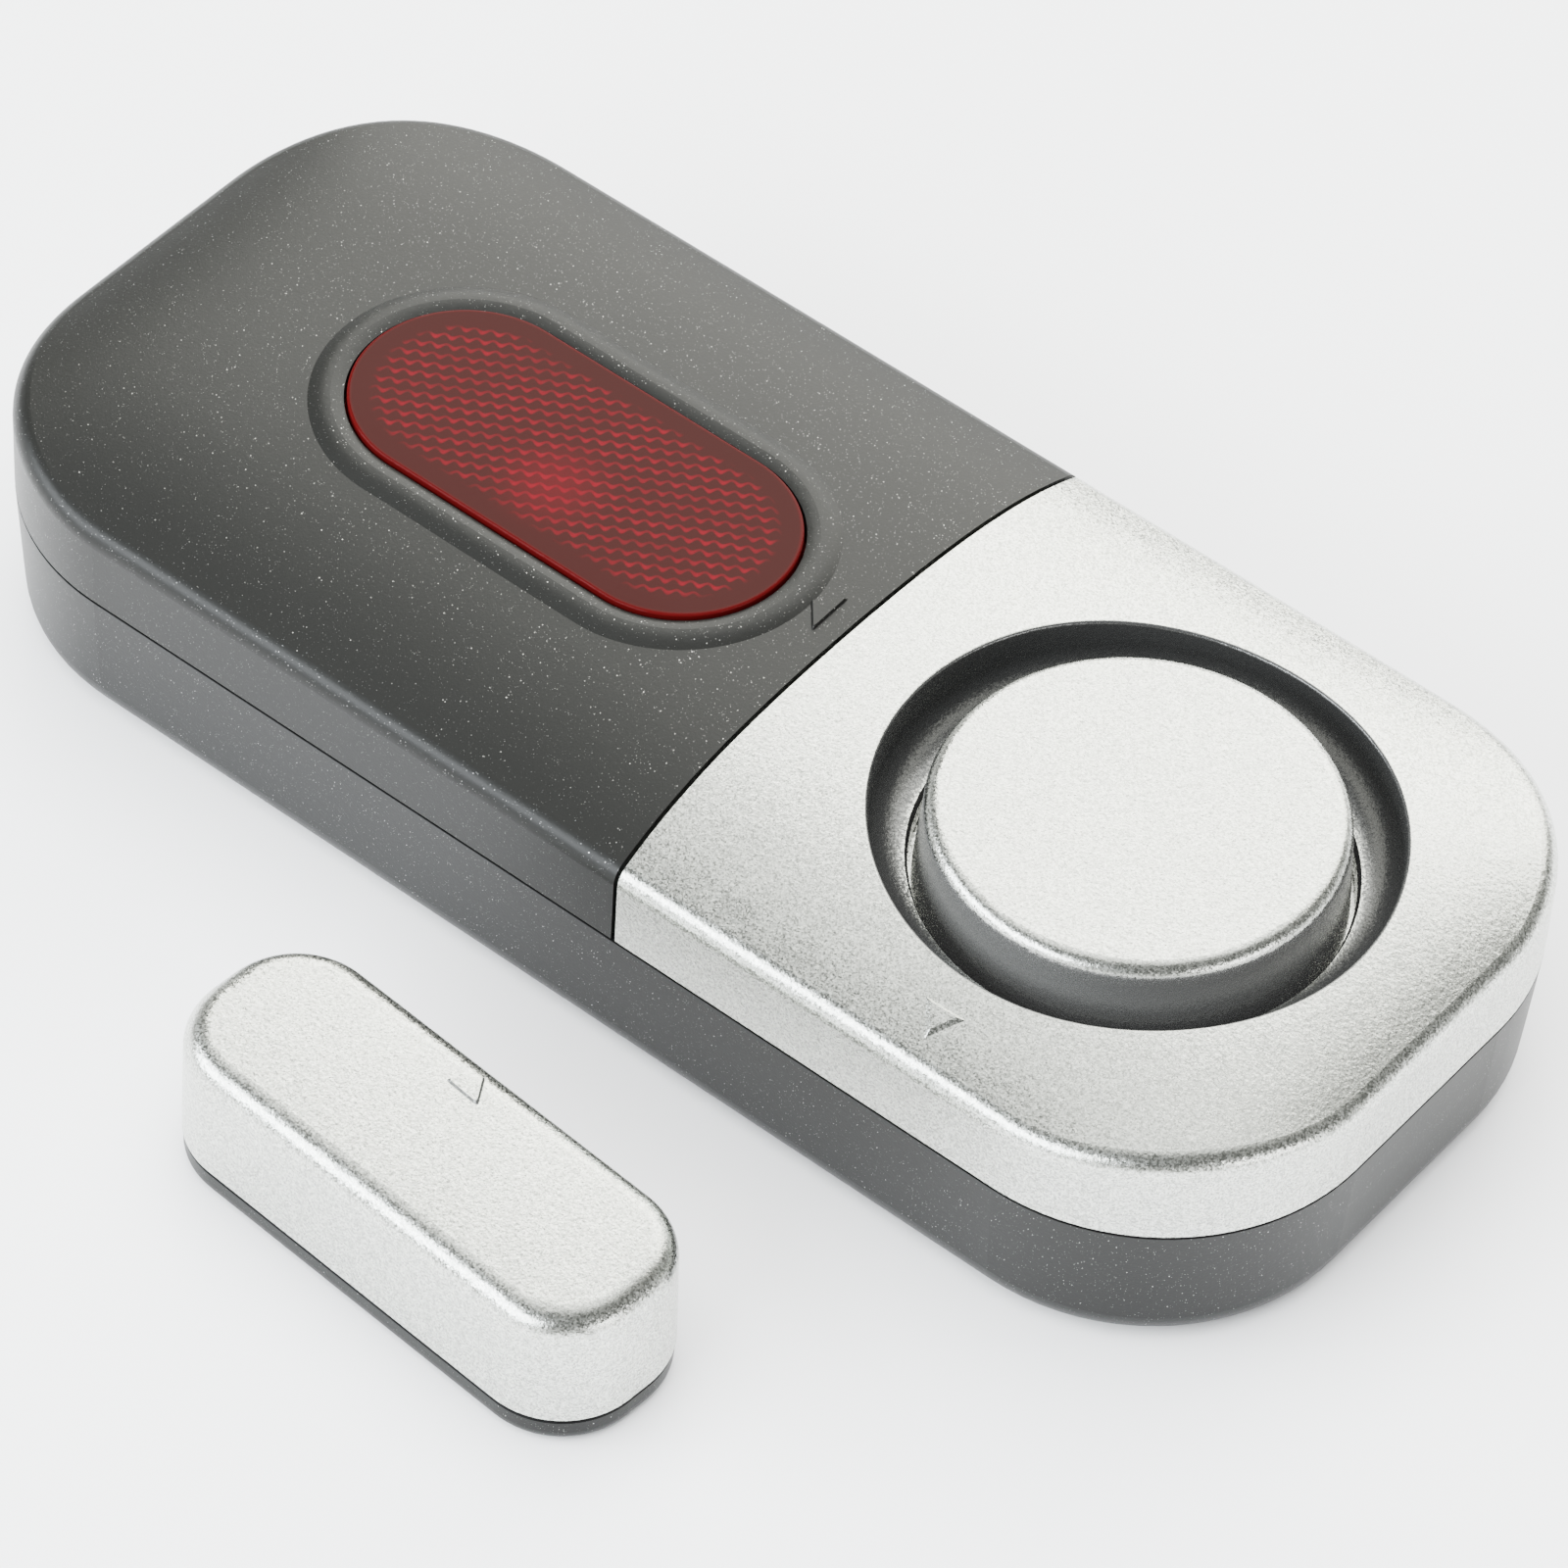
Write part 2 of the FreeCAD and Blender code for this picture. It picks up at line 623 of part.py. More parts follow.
def push_button():
    """Hollow cap with a retaining flange under the recess, a stem and stiffening ribs."""
    foot_z = hole_z - BUTTON_TRAVEL
    flange_top = bowl_under_z - BUTTON_FLANGE_GAP
    flange_low = flange_top - BUTTON_FLANGE_T
    flange_r = hole_r + BUTTON_FLANGE_REACH
    inner_r = BUTTON_TOP_R - BUTTON_WALL
    skin_z = BUTTON_TOP_Z - BUTTON_SKIN
    section = [
        (0, skin_z),
        (0, BUTTON_TOP_Z),
        (BUTTON_TOP_R, BUTTON_TOP_Z),
        (BUTTON_FOOT_R, foot_z),
        (BUTTON_FOOT_R, flange_top),
        (flange_r, flange_top),
        (flange_r, flange_low),
        (inner_r, flange_low),
        (inner_r, skin_z),
    ]
    cap = revolve(section, bowl_x)
    cap = cap.makeFillet(BUTTON_EDGE_R, edges_above(cap, BUTTON_TOP_Z - BUTTON_EDGE_R))
    run_in = BUTTON_SKIN / 2
    stem = cylinder(BUTTON_STEM_R, skin_z + run_in - plunger_top_z, bowl_x, 0, plunger_top_z)
    ribs = []
    for i in range(BUTTON_RIBS):
        low = (0, -BUTTON_RIB_T / 2, plunger_top_z + BUTTON_RIB_RISE)
        rib = box(low, (inner_r + BUTTON_WALL / 2, BUTTON_RIB_T / 2, skin_z + run_in))
        rib.rotate(V(0, 0, 0), UP, 360 * i / BUTTON_RIBS)
        ribs.append(rib.translated(V(bowl_x, 0, 0)))
    return cap.fuse([stem] + ribs).removeSplitter()


def switch_body():
    body = slab(outline(SWITCH_SIDE, SWITCH_SIDE, SWITCH_CORNER_R, bowl_x, 0, board_top_z), SWITCH_H)
    bore_z = board_top_z + SWITCH_H - SWITCH_BORE_DEPTH
    return body.cut(cylinder(PLUNGER_R + PLUNGER_GAP, HEIGHT, bowl_x, 0, bore_z))


def switch_plunger():
    low_z = board_top_z + SWITCH_H - PLUNGER_DEPTH
    return cylinder(PLUNGER_R, plunger_top_z - low_z, bowl_x, 0, low_z)


def circuit_board():
    low_x = seam_x + BOARD_SEAM_ROOM
    high_x = high_end_x - BOARD_END_ROOM
    wire = outline(high_x - low_x, 2 * board_half_y, BOARD_CORNER_R, (high_x + low_x) / 2, 0, board_z)
    half = trough_y - BOARD_TONGUE_GAP
    tongue = box((LENS_X - BOARD_TONGUE_REACH, -half, board_z), (low_x + BOARD_CORNER_R, half, board_top_z))
    board = slab(wire, BOARD_T).fuse(tongue).removeSplitter()
    cuts = [cylinder(TOWER_R + BOARD_CLEARANCE, HEIGHT, x, y, 0) for x, y in screw_places]
    cuts += [cylinder(PEG_R + PEG_CLEARANCE, HEIGHT, x, y, 0) for x, y in post_places]
    for i in range(SOUND_HOLES):
        a = 2 * math.pi * (i + 0.5) / SOUND_HOLES
        x = bowl_x + SOUND_HOLE_PITCH_R * math.cos(a)
        cuts.append(cylinder(SOUND_HOLE_R, HEIGHT, x, SOUND_HOLE_PITCH_R * math.sin(a), 0))
    return board.cut(cuts)


def lamps():
    parts = []
    for step in (-LAMP_STEP, 0, LAMP_STEP):
        stem = cylinder(LAMP_R, LAMP_HEIGHT, LENS_X + step, 0, board_top_z)
        flange = cylinder(LAMP_FLANGE_R, LAMP_FLANGE_H, LENS_X + step, 0, board_top_z)
        parts.append(stem.fuse(flange).removeSplitter())
    return parts


def reed_switch():
    """Glass tube along the board's near edge, level with the button's middle."""
    low_x = bowl_x - REED_LENGTH / 2
    y = REED_EDGE_ROOM - board_half_y
    z = board_top_z + REED_R
    lead_low_x = low_x - REED_LEAD_REACH
    lead_length = REED_LENGTH + 2 * REED_LEAD_REACH
    glass = cylinder(REED_R, REED_LENGTH, low_x, y, z, ALONG)
    parts = [cylinder(REED_LEAD_R, lead_length, lead_low_x, y, z, ALONG)]
    for x in (lead_low_x, lead_low_x + lead_length - 2 * REED_LEAD_R):
        parts.append(box((x, y - REED_LEAD_R, board_top_z), (x + 2 * REED_LEAD_R, y + REED_LEAD_R, z)))
    return glass.fuse(parts).removeSplitter()


def board_block(size, place):
    """Flat part on the board, placed from the button's middle and in from the +Y edge."""
    size_x, size_y, height = size
    y = board_half_y - place[1]
    low = (bowl_x + place[0] - size_x / 2, y - size_y / 2, board_top_z)
    return box(low, (low[0] + size_x, low[1] + size_y, low[2] + height))


def boost_coil():
    z = board_top_z
    waist = COIL_R - COIL_WAIST
    low = z + COIL_H / 4
    high = z + COIL_H * 3 / 4
    section = [(0, z), (COIL_R, z), (COIL_R, low), (waist, low), (waist, high), (COIL_R, high)]
    section += [(COIL_R, z + COIL_H), (0, z + COIL_H)]
    return revolve(section, bowl_x + COIL_PLACE[0], board_half_y - COIL_PLACE[1])


def sounder_cup():
    """Round chamber on the base's floor, with a ledge for the disc and a mouth in its top."""
    low_z = BASE_FLOOR
    top_z = low_z + sounder_h
    lid_z = top_z - SOUNDER_WALL
    ledge_z = low_z + sounder_ledge_h
    inner_r = SOUNDER_R - SOUNDER_WALL
    ledge_r = inner_r - SOUNDER_LEDGE
    section = [(ledge_r, low_z), (SOUNDER_R, low_z), (SOUNDER_R, top_z), (SOUNDER_MOUTH_R, top_z)]
    section += [(SOUNDER_MOUTH_R, lid_z), (inner_r, lid_z), (inner_r, ledge_z), (ledge_r, ledge_z)]
    return revolve(section, bowl_x)


def piezo_disc():
    return cylinder(PIEZO_R, PIEZO_T, bowl_x, 0, BASE_FLOOR + sounder_ledge_h)


def piezo_ceramic():
    return cylinder(CERAMIC_R, CERAMIC_T, bowl_x, 0, BASE_FLOOR + sounder_ledge_h - CERAMIC_T)


def battery_cells():
    """The first cell has its nub at the -X end and the second at the +X end."""
    parts = []
    for side in (1, -1):
        can_x = bay_low_x + CELL_NUB_H if side > 0 else bay_high_x - CELL_LENGTH
        nub_x = bay_low_x if side > 0 else bay_high_x - CELL_NUB_H - CELL_EDGE_R
        y = side * cell_y
        can = cylinder(CELL_R, CELL_LENGTH - CELL_NUB_H, can_x, y, cell_z, ALONG)
        can = can.makeFillet(CELL_EDGE_R, [e for e in can.Edges if e.BoundBox.XLength < CELL_EDGE_R])
        nub = cylinder(CELL_NUB_R, CELL_NUB_H + CELL_EDGE_R, nub_x, y, cell_z, ALONG)
        parts.append(can.fuse(nub).removeSplitter())
    return parts


def contact_spring(side, x, direction):
    """Conical spring along X, wide where it stands on its plate at x and narrow at the cell."""
    height = SPRING_LENGTH - 2 * SPRING_WIRE_R
    taper = math.degrees(math.atan2(SPRING_LARGE_R - SPRING_SMALL_R, height))
    path = Part.makeHelix(height / SPRING_TURNS, height, SPRING_SMALL_R, taper)
    section = Part.makeCircle(SPRING_WIRE_R, V(SPRING_SMALL_R, 0, 0), V(0, 1, 0))
    coil = Part.Wire(path).makePipeShell([Part.Wire([section])], True, True)
    coil.rotate(V(0, 0, 0), V(0, 1, 0), -90 * direction)
    return coil.translated(V(x + direction * (SPRING_LENGTH - SPRING_WIRE_R), side * cell_y, cell_z))


def contact_tab(x, side):
    y = side * cell_y
    half = CONTACT_WIDTH / 2
    return box((x, y - half, CONTACT_LOW_Z), (x + CONTACT_T, y + half, CONTACT_HIGH_Z))


def bridge_contact():
    """Strip that joins the two cells at the -X end, with a tab in each trough."""
    x = bay_low_x - CONTACT_T
    strip = box((x, -cell_y, CONTACT_LOW_Z), (bay_low_x, cell_y, BRIDGE_HIGH_Z))
    return strip.fuse([contact_tab(x, 1), contact_tab(x, -1)]).removeSplitter()


def back_screw(x, y):
    """Screw that points up, with a cross recess in its head."""
    head_z = SCREW_SINK - SCREW_HEAD_T
    head = cylinder(SCREW_HEAD_R, SCREW_HEAD_T, x, y, head_z)
    head = head.makeFillet(SCREW_HEAD_ROUND, edges_below(head, head_z + SCREW_HEAD_ROUND))
    shank = cylinder(PILOT_R, SCREW_LENGTH, x, y, SCREW_SINK)
    a = SCREW_SLOT_REACH
    b = SCREW_SLOT_W / 2
    top_z = head_z + SCREW_SLOT_DEPTH
    slots = [box((x - c, y - d, 0), (x + c, y + d, top_z)) for c, d in ((a, b), (b, a))]
    return head.fuse(shank).removeSplitter().cut(slots)


def magnet_outline(inset, z):
    return outline(MAGNET_LENGTH - 2 * inset, MAGNET_WIDTH - 2 * inset, MAGNET_CORNER_R - inset, z=z)


def magnet_form(inset, low_z):
    """Crowned cover of the magnet unit, whose walls lean in slightly."""
    foot = magnet_outline(inset, low_z)
    head = magnet_outline(inset + MAGNET_DRAFT, MAGNET_HEIGHT + OVERCUT)
    body = Part.makeLoft([foot, head], True, True)
    top = MAGNET_HEIGHT - inset
    body = body.common(crown_block(MAGNET_LENGTH, MAGNET_WIDTH, top, MAGNET_CROWN, MAGNET_HEIGHT))
    return body.makeFillet(MAGNET_EDGE_R - inset, edges_above(body, low_z + MAGNET_EDGE_R))


def magnet_cover():
    low_z = MAGNET_PARTING_Z + PARTING_GAP
    cover = magnet_form(0, low_z).cut(magnet_form(MAGNET_WALL, low_z - OVERCUT))
    bar_length, bar_width, bar_height = MAGNET_BAR
    rib_z = MAGNET_PARTING_Z + bar_height + MAGNET_BAR_GAP
    half = MAGNET_WIDTH / 2 - MAGNET_WALL / 2
    ribs = []
    for x in (-bar_length / 4, bar_length / 4):
        low = (x - MAGNET_RIB_T / 2, -half, rib_z)
        ribs.append(box(low, (x + MAGNET_RIB_T / 2, half, MAGNET_HEIGHT - MAGNET_WALL / 2)))
    return cover.fuse(ribs).removeSplitter()


def magnet_plate():
    """Dark plate under the cover, with a spigot that fits in it and a nest for the magnet."""
    plate = slab(magnet_outline(MAGNET_BASE_INSET, 0), MAGNET_PARTING_Z)
    plate = plate.makeFillet(MAGNET_BASE_EDGE_R, edges_below(plate, MAGNET_BASE_EDGE_R))
    spigot = slab(magnet_outline(MAGNET_WALL + MAGNET_SPIGOT_GAP, 0), MAGNET_PARTING_Z + MAGNET_SPIGOT_H)
    spigot = spigot.common(box((-length, -WIDTH, MAGNET_BASE_EDGE_R), (length, WIDTH, HEIGHT)))
    half_x = MAGNET_BAR[0] / 2 + MAGNET_BAR_GAP
    half_y = MAGNET_BAR[1] / 2 + MAGNET_BAR_GAP
    nest = box((-half_x, -half_y, MAGNET_PARTING_Z), (half_x, half_y, HEIGHT))
    return plate.fuse(spigot).removeSplitter().cut([nest, magnet_pad(PAD_GAP)])


def magnet_pad(grow):
    size_x, size_y = MAGNET_PAD_SIZE
    return slab(outline(size_x + 2 * grow, size_y + 2 * grow, MAGNET_PAD_CORNER_R + grow), PAD_T)


def magnet_bar():
    bar_length, bar_width, bar_height = MAGNET_BAR
    low = (-bar_length / 2, -bar_width / 2, MAGNET_PARTING_Z)
    bar = box(low, (bar_length / 2, bar_width / 2, MAGNET_PARTING_Z + bar_height))
    return bar.makeChamfer(MAGNET_BAR_EDGE, [e for e in bar.Edges if e.BoundBox.ZLength > bar_height / 2])


def at_magnet(shape):
    shape.rotate(V(0, 0, 0), UP, MAGNET_YAW)
    return shape.translated(V(MAGNET_X, MAGNET_Y, 0))


def build():
    nodes = {
        "base_shell": base_shell(),
        "front_cover": front_cover(),
        "battery_cover": battery_cover(),
        "light_lens": light_lens(),
        "push_button": push_button(),
        "switch_body": switch_body(),
        "switch_plunger": switch_plunger(),
        "circuit_board": circuit_board(),
        "reed_switch": reed_switch(),
        "controller_chip": board_block(CHIP_SIZE, CHIP_PLACE),
        "boost_coil": boost_coil(),
        "capacitor": board_block(CAPACITOR_SIZE, CAPACITOR_PLACE),
        "sounder_cup": sounder_cup(),
        "piezo_disc": piezo_disc(),
        "piezo_ceramic": piezo_ceramic(),
        "plate_contact_1": contact_tab(bay_high_x, 1),
        "plate_contact_2": contact_tab(bay_high_x, -1),
        "bridge_contact": bridge_contact(),
        "contact_spring_1": contact_spring(1, bay_high_x, -1),
        "contact_spring_2": contact_spring(-1, bay_low_x, 1),
        "back_screws": Part.makeCompound([back_screw(x, y) for x, y in screw_places]),
        "magnet_cover": at_magnet(magnet_cover()),
        "magnet_plate": at_magnet(magnet_plate()),
        "magnet_bar": at_magnet(magnet_bar()),
        "magnet_pad": at_magnet(magnet_pad(0)),
    }
    for number, shape in enumerate(lamps(), 1):
        nodes["lamp_%d" % number] = shape
    for number, shape in enumerate(battery_cells(), 1):
        nodes["battery_cell_%d" % number] = shape
    for number, x in enumerate(pad_x, 1):
        nodes["sticky_pad_%d" % number] = pad_slab(x, 0)
    return nodes


os.makedirs("parts", exist_ok=True)
for name, shape in build().items():
    shape.exportStep("parts/" + name + ".step")
    print(name, len(shape.Solids), "valid" if shape.isValid() else "not valid", round(shape.Volume, 1))
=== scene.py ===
import math

import bmesh
import bpy
from mathutils import Matrix, Vector


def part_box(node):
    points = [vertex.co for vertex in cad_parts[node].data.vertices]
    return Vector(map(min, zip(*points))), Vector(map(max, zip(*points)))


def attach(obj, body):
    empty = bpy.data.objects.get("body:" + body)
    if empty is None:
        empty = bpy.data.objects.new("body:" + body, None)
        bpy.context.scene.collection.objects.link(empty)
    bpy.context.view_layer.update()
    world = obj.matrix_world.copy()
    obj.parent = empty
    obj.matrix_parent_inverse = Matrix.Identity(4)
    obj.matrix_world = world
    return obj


bl_info = {
    "name": "Door alarm",
    "version": (1, 0, 0),
    "blender": (4, 5, 0),
    "location": "View3D > Sidebar > Door alarm",
    "description": "Finishes, raised marks, studio and camera for a door alarm and its magnet unit",
    "category": "Object",
}

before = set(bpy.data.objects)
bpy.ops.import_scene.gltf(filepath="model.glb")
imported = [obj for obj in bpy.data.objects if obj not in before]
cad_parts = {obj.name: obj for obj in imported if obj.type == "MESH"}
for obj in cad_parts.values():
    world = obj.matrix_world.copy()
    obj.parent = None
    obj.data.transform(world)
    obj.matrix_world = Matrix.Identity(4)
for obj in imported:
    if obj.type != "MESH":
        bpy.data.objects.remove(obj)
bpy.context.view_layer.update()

MM = 0.001

# Places on the housing, in millimetres, which part.py gives its solids
WINDOW_X = -18.7
WINDOW_LENGTH = 38.2
WINDOW_WIDTH = 17.9
HOUSING_HALF = (60.3, 26.95)
HOUSING_TOP = 22.3
HOUSING_CROWN = 3.4
CROWN_EVEN = 0.3
RECESS_X = 33.36
MAGNET_TOP = 12.9

# Heights and half widths of the painted shade line at the gaps between mouldings, in metres
BASE_GAP_SHADE = {"Height": 0.0122, "Width": 0.00012}
MAGNET_GAP_SHADE = {"Height": 0.00236, "Width": 0.00018}

# Painted shade on the silver paint: where it goes dark in the recess, down the button's side and on
# the marks' slopes, and the colour painted there
RECESS = (RECESS_X * MM, 0.0, 0.0)
# Painted shade in the recess around the button
COVER_PAINTED_SHADE = {"Centre": RECESS, "Reach": 0.01935, "Inner": 0.0153, "Steep": 0.80, "Level": 1.0}
COVER_SHADE_COLOUR = (0.085, 0.086, 0.085)
# Painted shade down the button's steep side
BUTTON_PAINTED_SHADE = {"Centre": RECESS, "Reach": 0.0170, "Inner": 0.0170, "Steep": 0.10, "Level": 0.55}
BUTTON_SHADE_COLOUR = (0.29, 0.29, 0.283)
# Painted shade on the marks' sloping sides
MARK_PAINTED_SHADE = {"Centre": (0.0, 0.0, 0.0), "Reach": 1.0, "Inner": 1.0, "Steep": 0.85, "Level": 0.97}
MARK_SHADE_COLOUR = (0.16, 0.162, 0.156)

# Silver paint: shares of its colour in the darkest and lightest grains, and the grain's
# lean and texture in metres
GRAIN_SHARES = (0.52, 1.30)
PAINT_GRAIN = {"Lean": 0.11, "Texture_pitch": 0.00034, "Texture_depth": 0.000032}
PAINT_METALLIC = 0.99
# Metal share of the silver paint under its painted shade
SHADED_METALLIC = 0.80
SCRATCH_COLOUR = (0.30, 0.30, 0.29)

# Dark moulding
FLECK_COLOUR = (0.80, 0.80, 0.78)
FLECK_LEAN = 0.45
# Near black painted shade for the gaps between mouldings
GAP_SHADE_COLOUR = (0.0004, 0.0004, 0.0004)

# Red window: turn of its rows, shift from row to row, the painted glow over the middle lamp and the
# rim, in metres
ROW_TURN = math.radians(30)
ROW_SHIFT = 0.3
GLOW_PLACE = (0.0005, -0.0030, 0.0)
GLOW_RADIUS = 0.0055
GLOW_SHARE = 0.30
RIM_COLOUR = (0.10, 0.001, 0.003)
RIM_WIDTH = 0.0004
RIM_SHARE = 0.35

# Plain finishes: colour, roughness, metallic, texture pitch and depth in metres, and their nodes
PLAIN_FINISHES = (
    ("Black moulding", (0.022, 0.022, 0.022), 0.42, 0.0, 0.0003, 0.000004,
     ("switch_body", "sounder_cup")),
    ("Bright spring steel", (0.72, 0.71, 0.68), 0.24, 1.0, 0.00012, 0.000001,
     ("contact_spring_1", "contact_spring_2")),
    ("Plated contact", (0.70, 0.70, 0.66), 0.30, 1.0, 0.0002, 0.000002,
     ("plate_contact_1", "plate_contact_2", "bridge_contact")),
    ("Plated screw", (0.60, 0.60, 0.58), 0.28, 1.0, 0.0002, 0.000002, ("back_screws",)),
    ("Brass sounder plate", (0.72, 0.52, 0.22), 0.30, 1.0, 0.0004, 0.000002, ("piezo_disc",)),
    ("Silvered ceramic", (0.80, 0.79, 0.75), 0.50, 0.2, 0.0001, 0.000003, ("piezo_ceramic",)),
    ("Sintered magnet", (0.085, 0.085, 0.088), 0.55, 0.3, 0.00025, 0.00002,
     ("boost_coil", "magnet_bar")),
    ("Switch plunger", (0.50, 0.08, 0.05), 0.35, 0.0, 0.0003, 0.000004, ("switch_plunger",)),
    ("Chip epoxy", (0.018, 0.018, 0.019), 0.5, 0.0, 0.0001, 0.000004, ("controller_chip",)),
    ("Capacitor body", (0.42, 0.25, 0.08), 0.35, 0.0, 0.0003, 0.000004, ("capacitor",)),
)
LAMPS = ("lamp_1", "lamp_2", "lamp_3")
PADS = ("sticky_pad_1", "sticky_pad_2", "magnet_pad")

# Raised marks, in millimetres
MARK_ROOT = 0.3
MARK_REACH = 1.4
FRONT_SLOPE = 0.34
MAGNET_SINK = 0.012
COVER_CORNERS = ((4.95, -1.61), (4.87, 2.81), (2.94, 0.77))
FRONT_CORNERS = ((31.75, -21.92), (33.71, -24.48), (35.17, -21.84))
MAGNET_CORNERS = ((7.56, -44.6), (10.95, -44.96), (9.63, -42.62))

# Softboxes: the setting of their strength, place and size in metres, colour, and seen in gloss
SOFTBOXES = (
    ("Rear softbox", "rear_power", (-0.290, 0.745, 0.545), (0.98, 0.70), (1.0, 1.0, 0.93), True),
    ("Front softbox", "front_power", (-0.36, -0.664, 0.45), (1.20, 0.44), (0.90, 0.955, 1.0), True),
    ("Side softbox", "side_power", (0.95, -0.05, 0.28), (0.55, 0.22), (1.0, 1.0, 1.0), True),
    ("Ceiling fill", "fill_power", (0.0, 0.0, 1.30), (1.60, 1.60), (0.97, 0.98, 1.0), False),
)
ROOM_COLOUR = (0.98, 1.0, 0.97)
CEILING_WAY = (-0.239, 0.329, 0.914)

# Camera: azimuth, elevation and roll in degrees, lens and place in millimetres
CAMERA_ANGLES = (36.191, 47.542, 4.057)
CAMERA_LENS = 180.584
CAMERA_PLACE = (233.556, -316.076, 430.897)


def crown_z(x, y):
    """Height of the housing's crowned top at a place, in millimetres."""
    u = x / HOUSING_HALF[0]
    v = y / HOUSING_HALF[1]
    across = 1 - CROWN_EVEN * v ** 2 - (1 - CROWN_EVEN) * v ** 4
    return HOUSING_TOP - HOUSING_CROWN + HOUSING_CROWN * (1 - u ** 8) * across


def magnet_z(x, y):
    """Height at which the magnet unit's mark stands, in millimetres."""
    return MAGNET_TOP - MAGNET_SINK


class AlarmFinishSettings(bpy.types.PropertyGroup):
    silver: bpy.props.FloatVectorProperty(
        name="Silver paint", description="Middle colour of the metallic paint", subtype="COLOR",
        size=3, default=(0.577, 0.590, 0.549), min=0.0, max=1.0)
    silver_grain: bpy.props.FloatProperty(
        name="Paint grain", description="Width of one grain of the metallic paint",
        unit="LENGTH", default=0.00012, min=0.00002, max=0.002)
    anthracite: bpy.props.FloatVectorProperty(
        name="Anthracite", description="Colour of the dark moulding", subtype="COLOR",
        size=3, default=(0.0054, 0.0055, 0.0049), min=0.0, max=1.0)
    fleck_pitch: bpy.props.FloatProperty(
        name="Fleck spacing", description="Spacing of the bright flecks in the dark moulding",
        unit="LENGTH", default=0.00030, min=0.00005, max=0.005)
    window_red: bpy.props.FloatVectorProperty(
        name="Window red", description="Colour of the light window", subtype="COLOR",
        size=3, default=(0.019, 0.0029, 0.0024), min=0.0, max=1.0)
    # The ridge red is painted light on the window's ridges
    window_bright: bpy.props.FloatVectorProperty(
        name="Window ridge red", description="Colour of the lit ridges inside the window",
        subtype="COLOR", size=3, default=(0.085, 0.0003, 0.0040), min=0.0, max=1.0)
    ridge_pitch: bpy.props.FloatProperty(
        name="Window cell width", description="Width of one cell of the window's pattern",
        unit="LENGTH", default=0.00123, min=0.0003, max=0.01)


class AlarmMarkSettings(bpy.types.PropertyGroup):
    rise: bpy.props.FloatProperty(
        name="Mark height", description="How far the arrow marks stand above the housing",
        unit="LENGTH", default=0.00026, min=0.00005, max=0.002)
    magnet_rise: bpy.props.FloatProperty(
        name="Magnet mark height", description="How far the magnet unit's arrow stands up",
        unit="LENGTH", default=0.00018, min=0.00005, max=0.002)
    slope: bpy.props.FloatProperty(
        name="Mark slope", description="Width of the marks' sloping edge",
        unit="LENGTH", default=0.00022, min=0.00002, max=0.002)


class AlarmStageSettings(bpy.types.PropertyGroup):
    floor: bpy.props.FloatVectorProperty(
        name="Floor", description="Colour of the floor", subtype="COLOR",
        size=3, default=(0.88, 0.88, 0.88), min=0.0, max=1.0)
    rear_power: bpy.props.FloatProperty(
        name="Rear softbox", description="Strength of the rear softbox", default=18.5, min=0.0)
    front_power: bpy.props.FloatProperty(
        name="Front softbox", description="Strength of the front softbox", default=32.0, min=0.0)
    side_power: bpy.props.FloatProperty(
        name="Side softbox", description="Strength of the low softbox at the button's end",
        default=4.0, min=0.0)
    fill_power: bpy.props.FloatProperty(
        name="Ceiling fill", description="Strength of the fill from above, seen in no gloss",
        default=72.0, min=0.0)
    backdrop: bpy.props.FloatProperty(
        name="Backdrop", description="Strength of the pale backdrop's light, low all around",
        default=1.3, min=0.0)
    room: bpy.props.FloatProperty(
        name="Room light", description="Strength of the room's light above the backdrop",
        default=0.28, min=0.0)
    ceiling: bpy.props.FloatProperty(
        name="Lit ceiling", description="Strength of the ceiling that the rear softbox lights",
        default=3.0, min=0.0)


def rgb(colour):
    """Colour with the fourth number that a colour socket takes."""
    return (colour[0], colour[1], colour[2], 1.0)


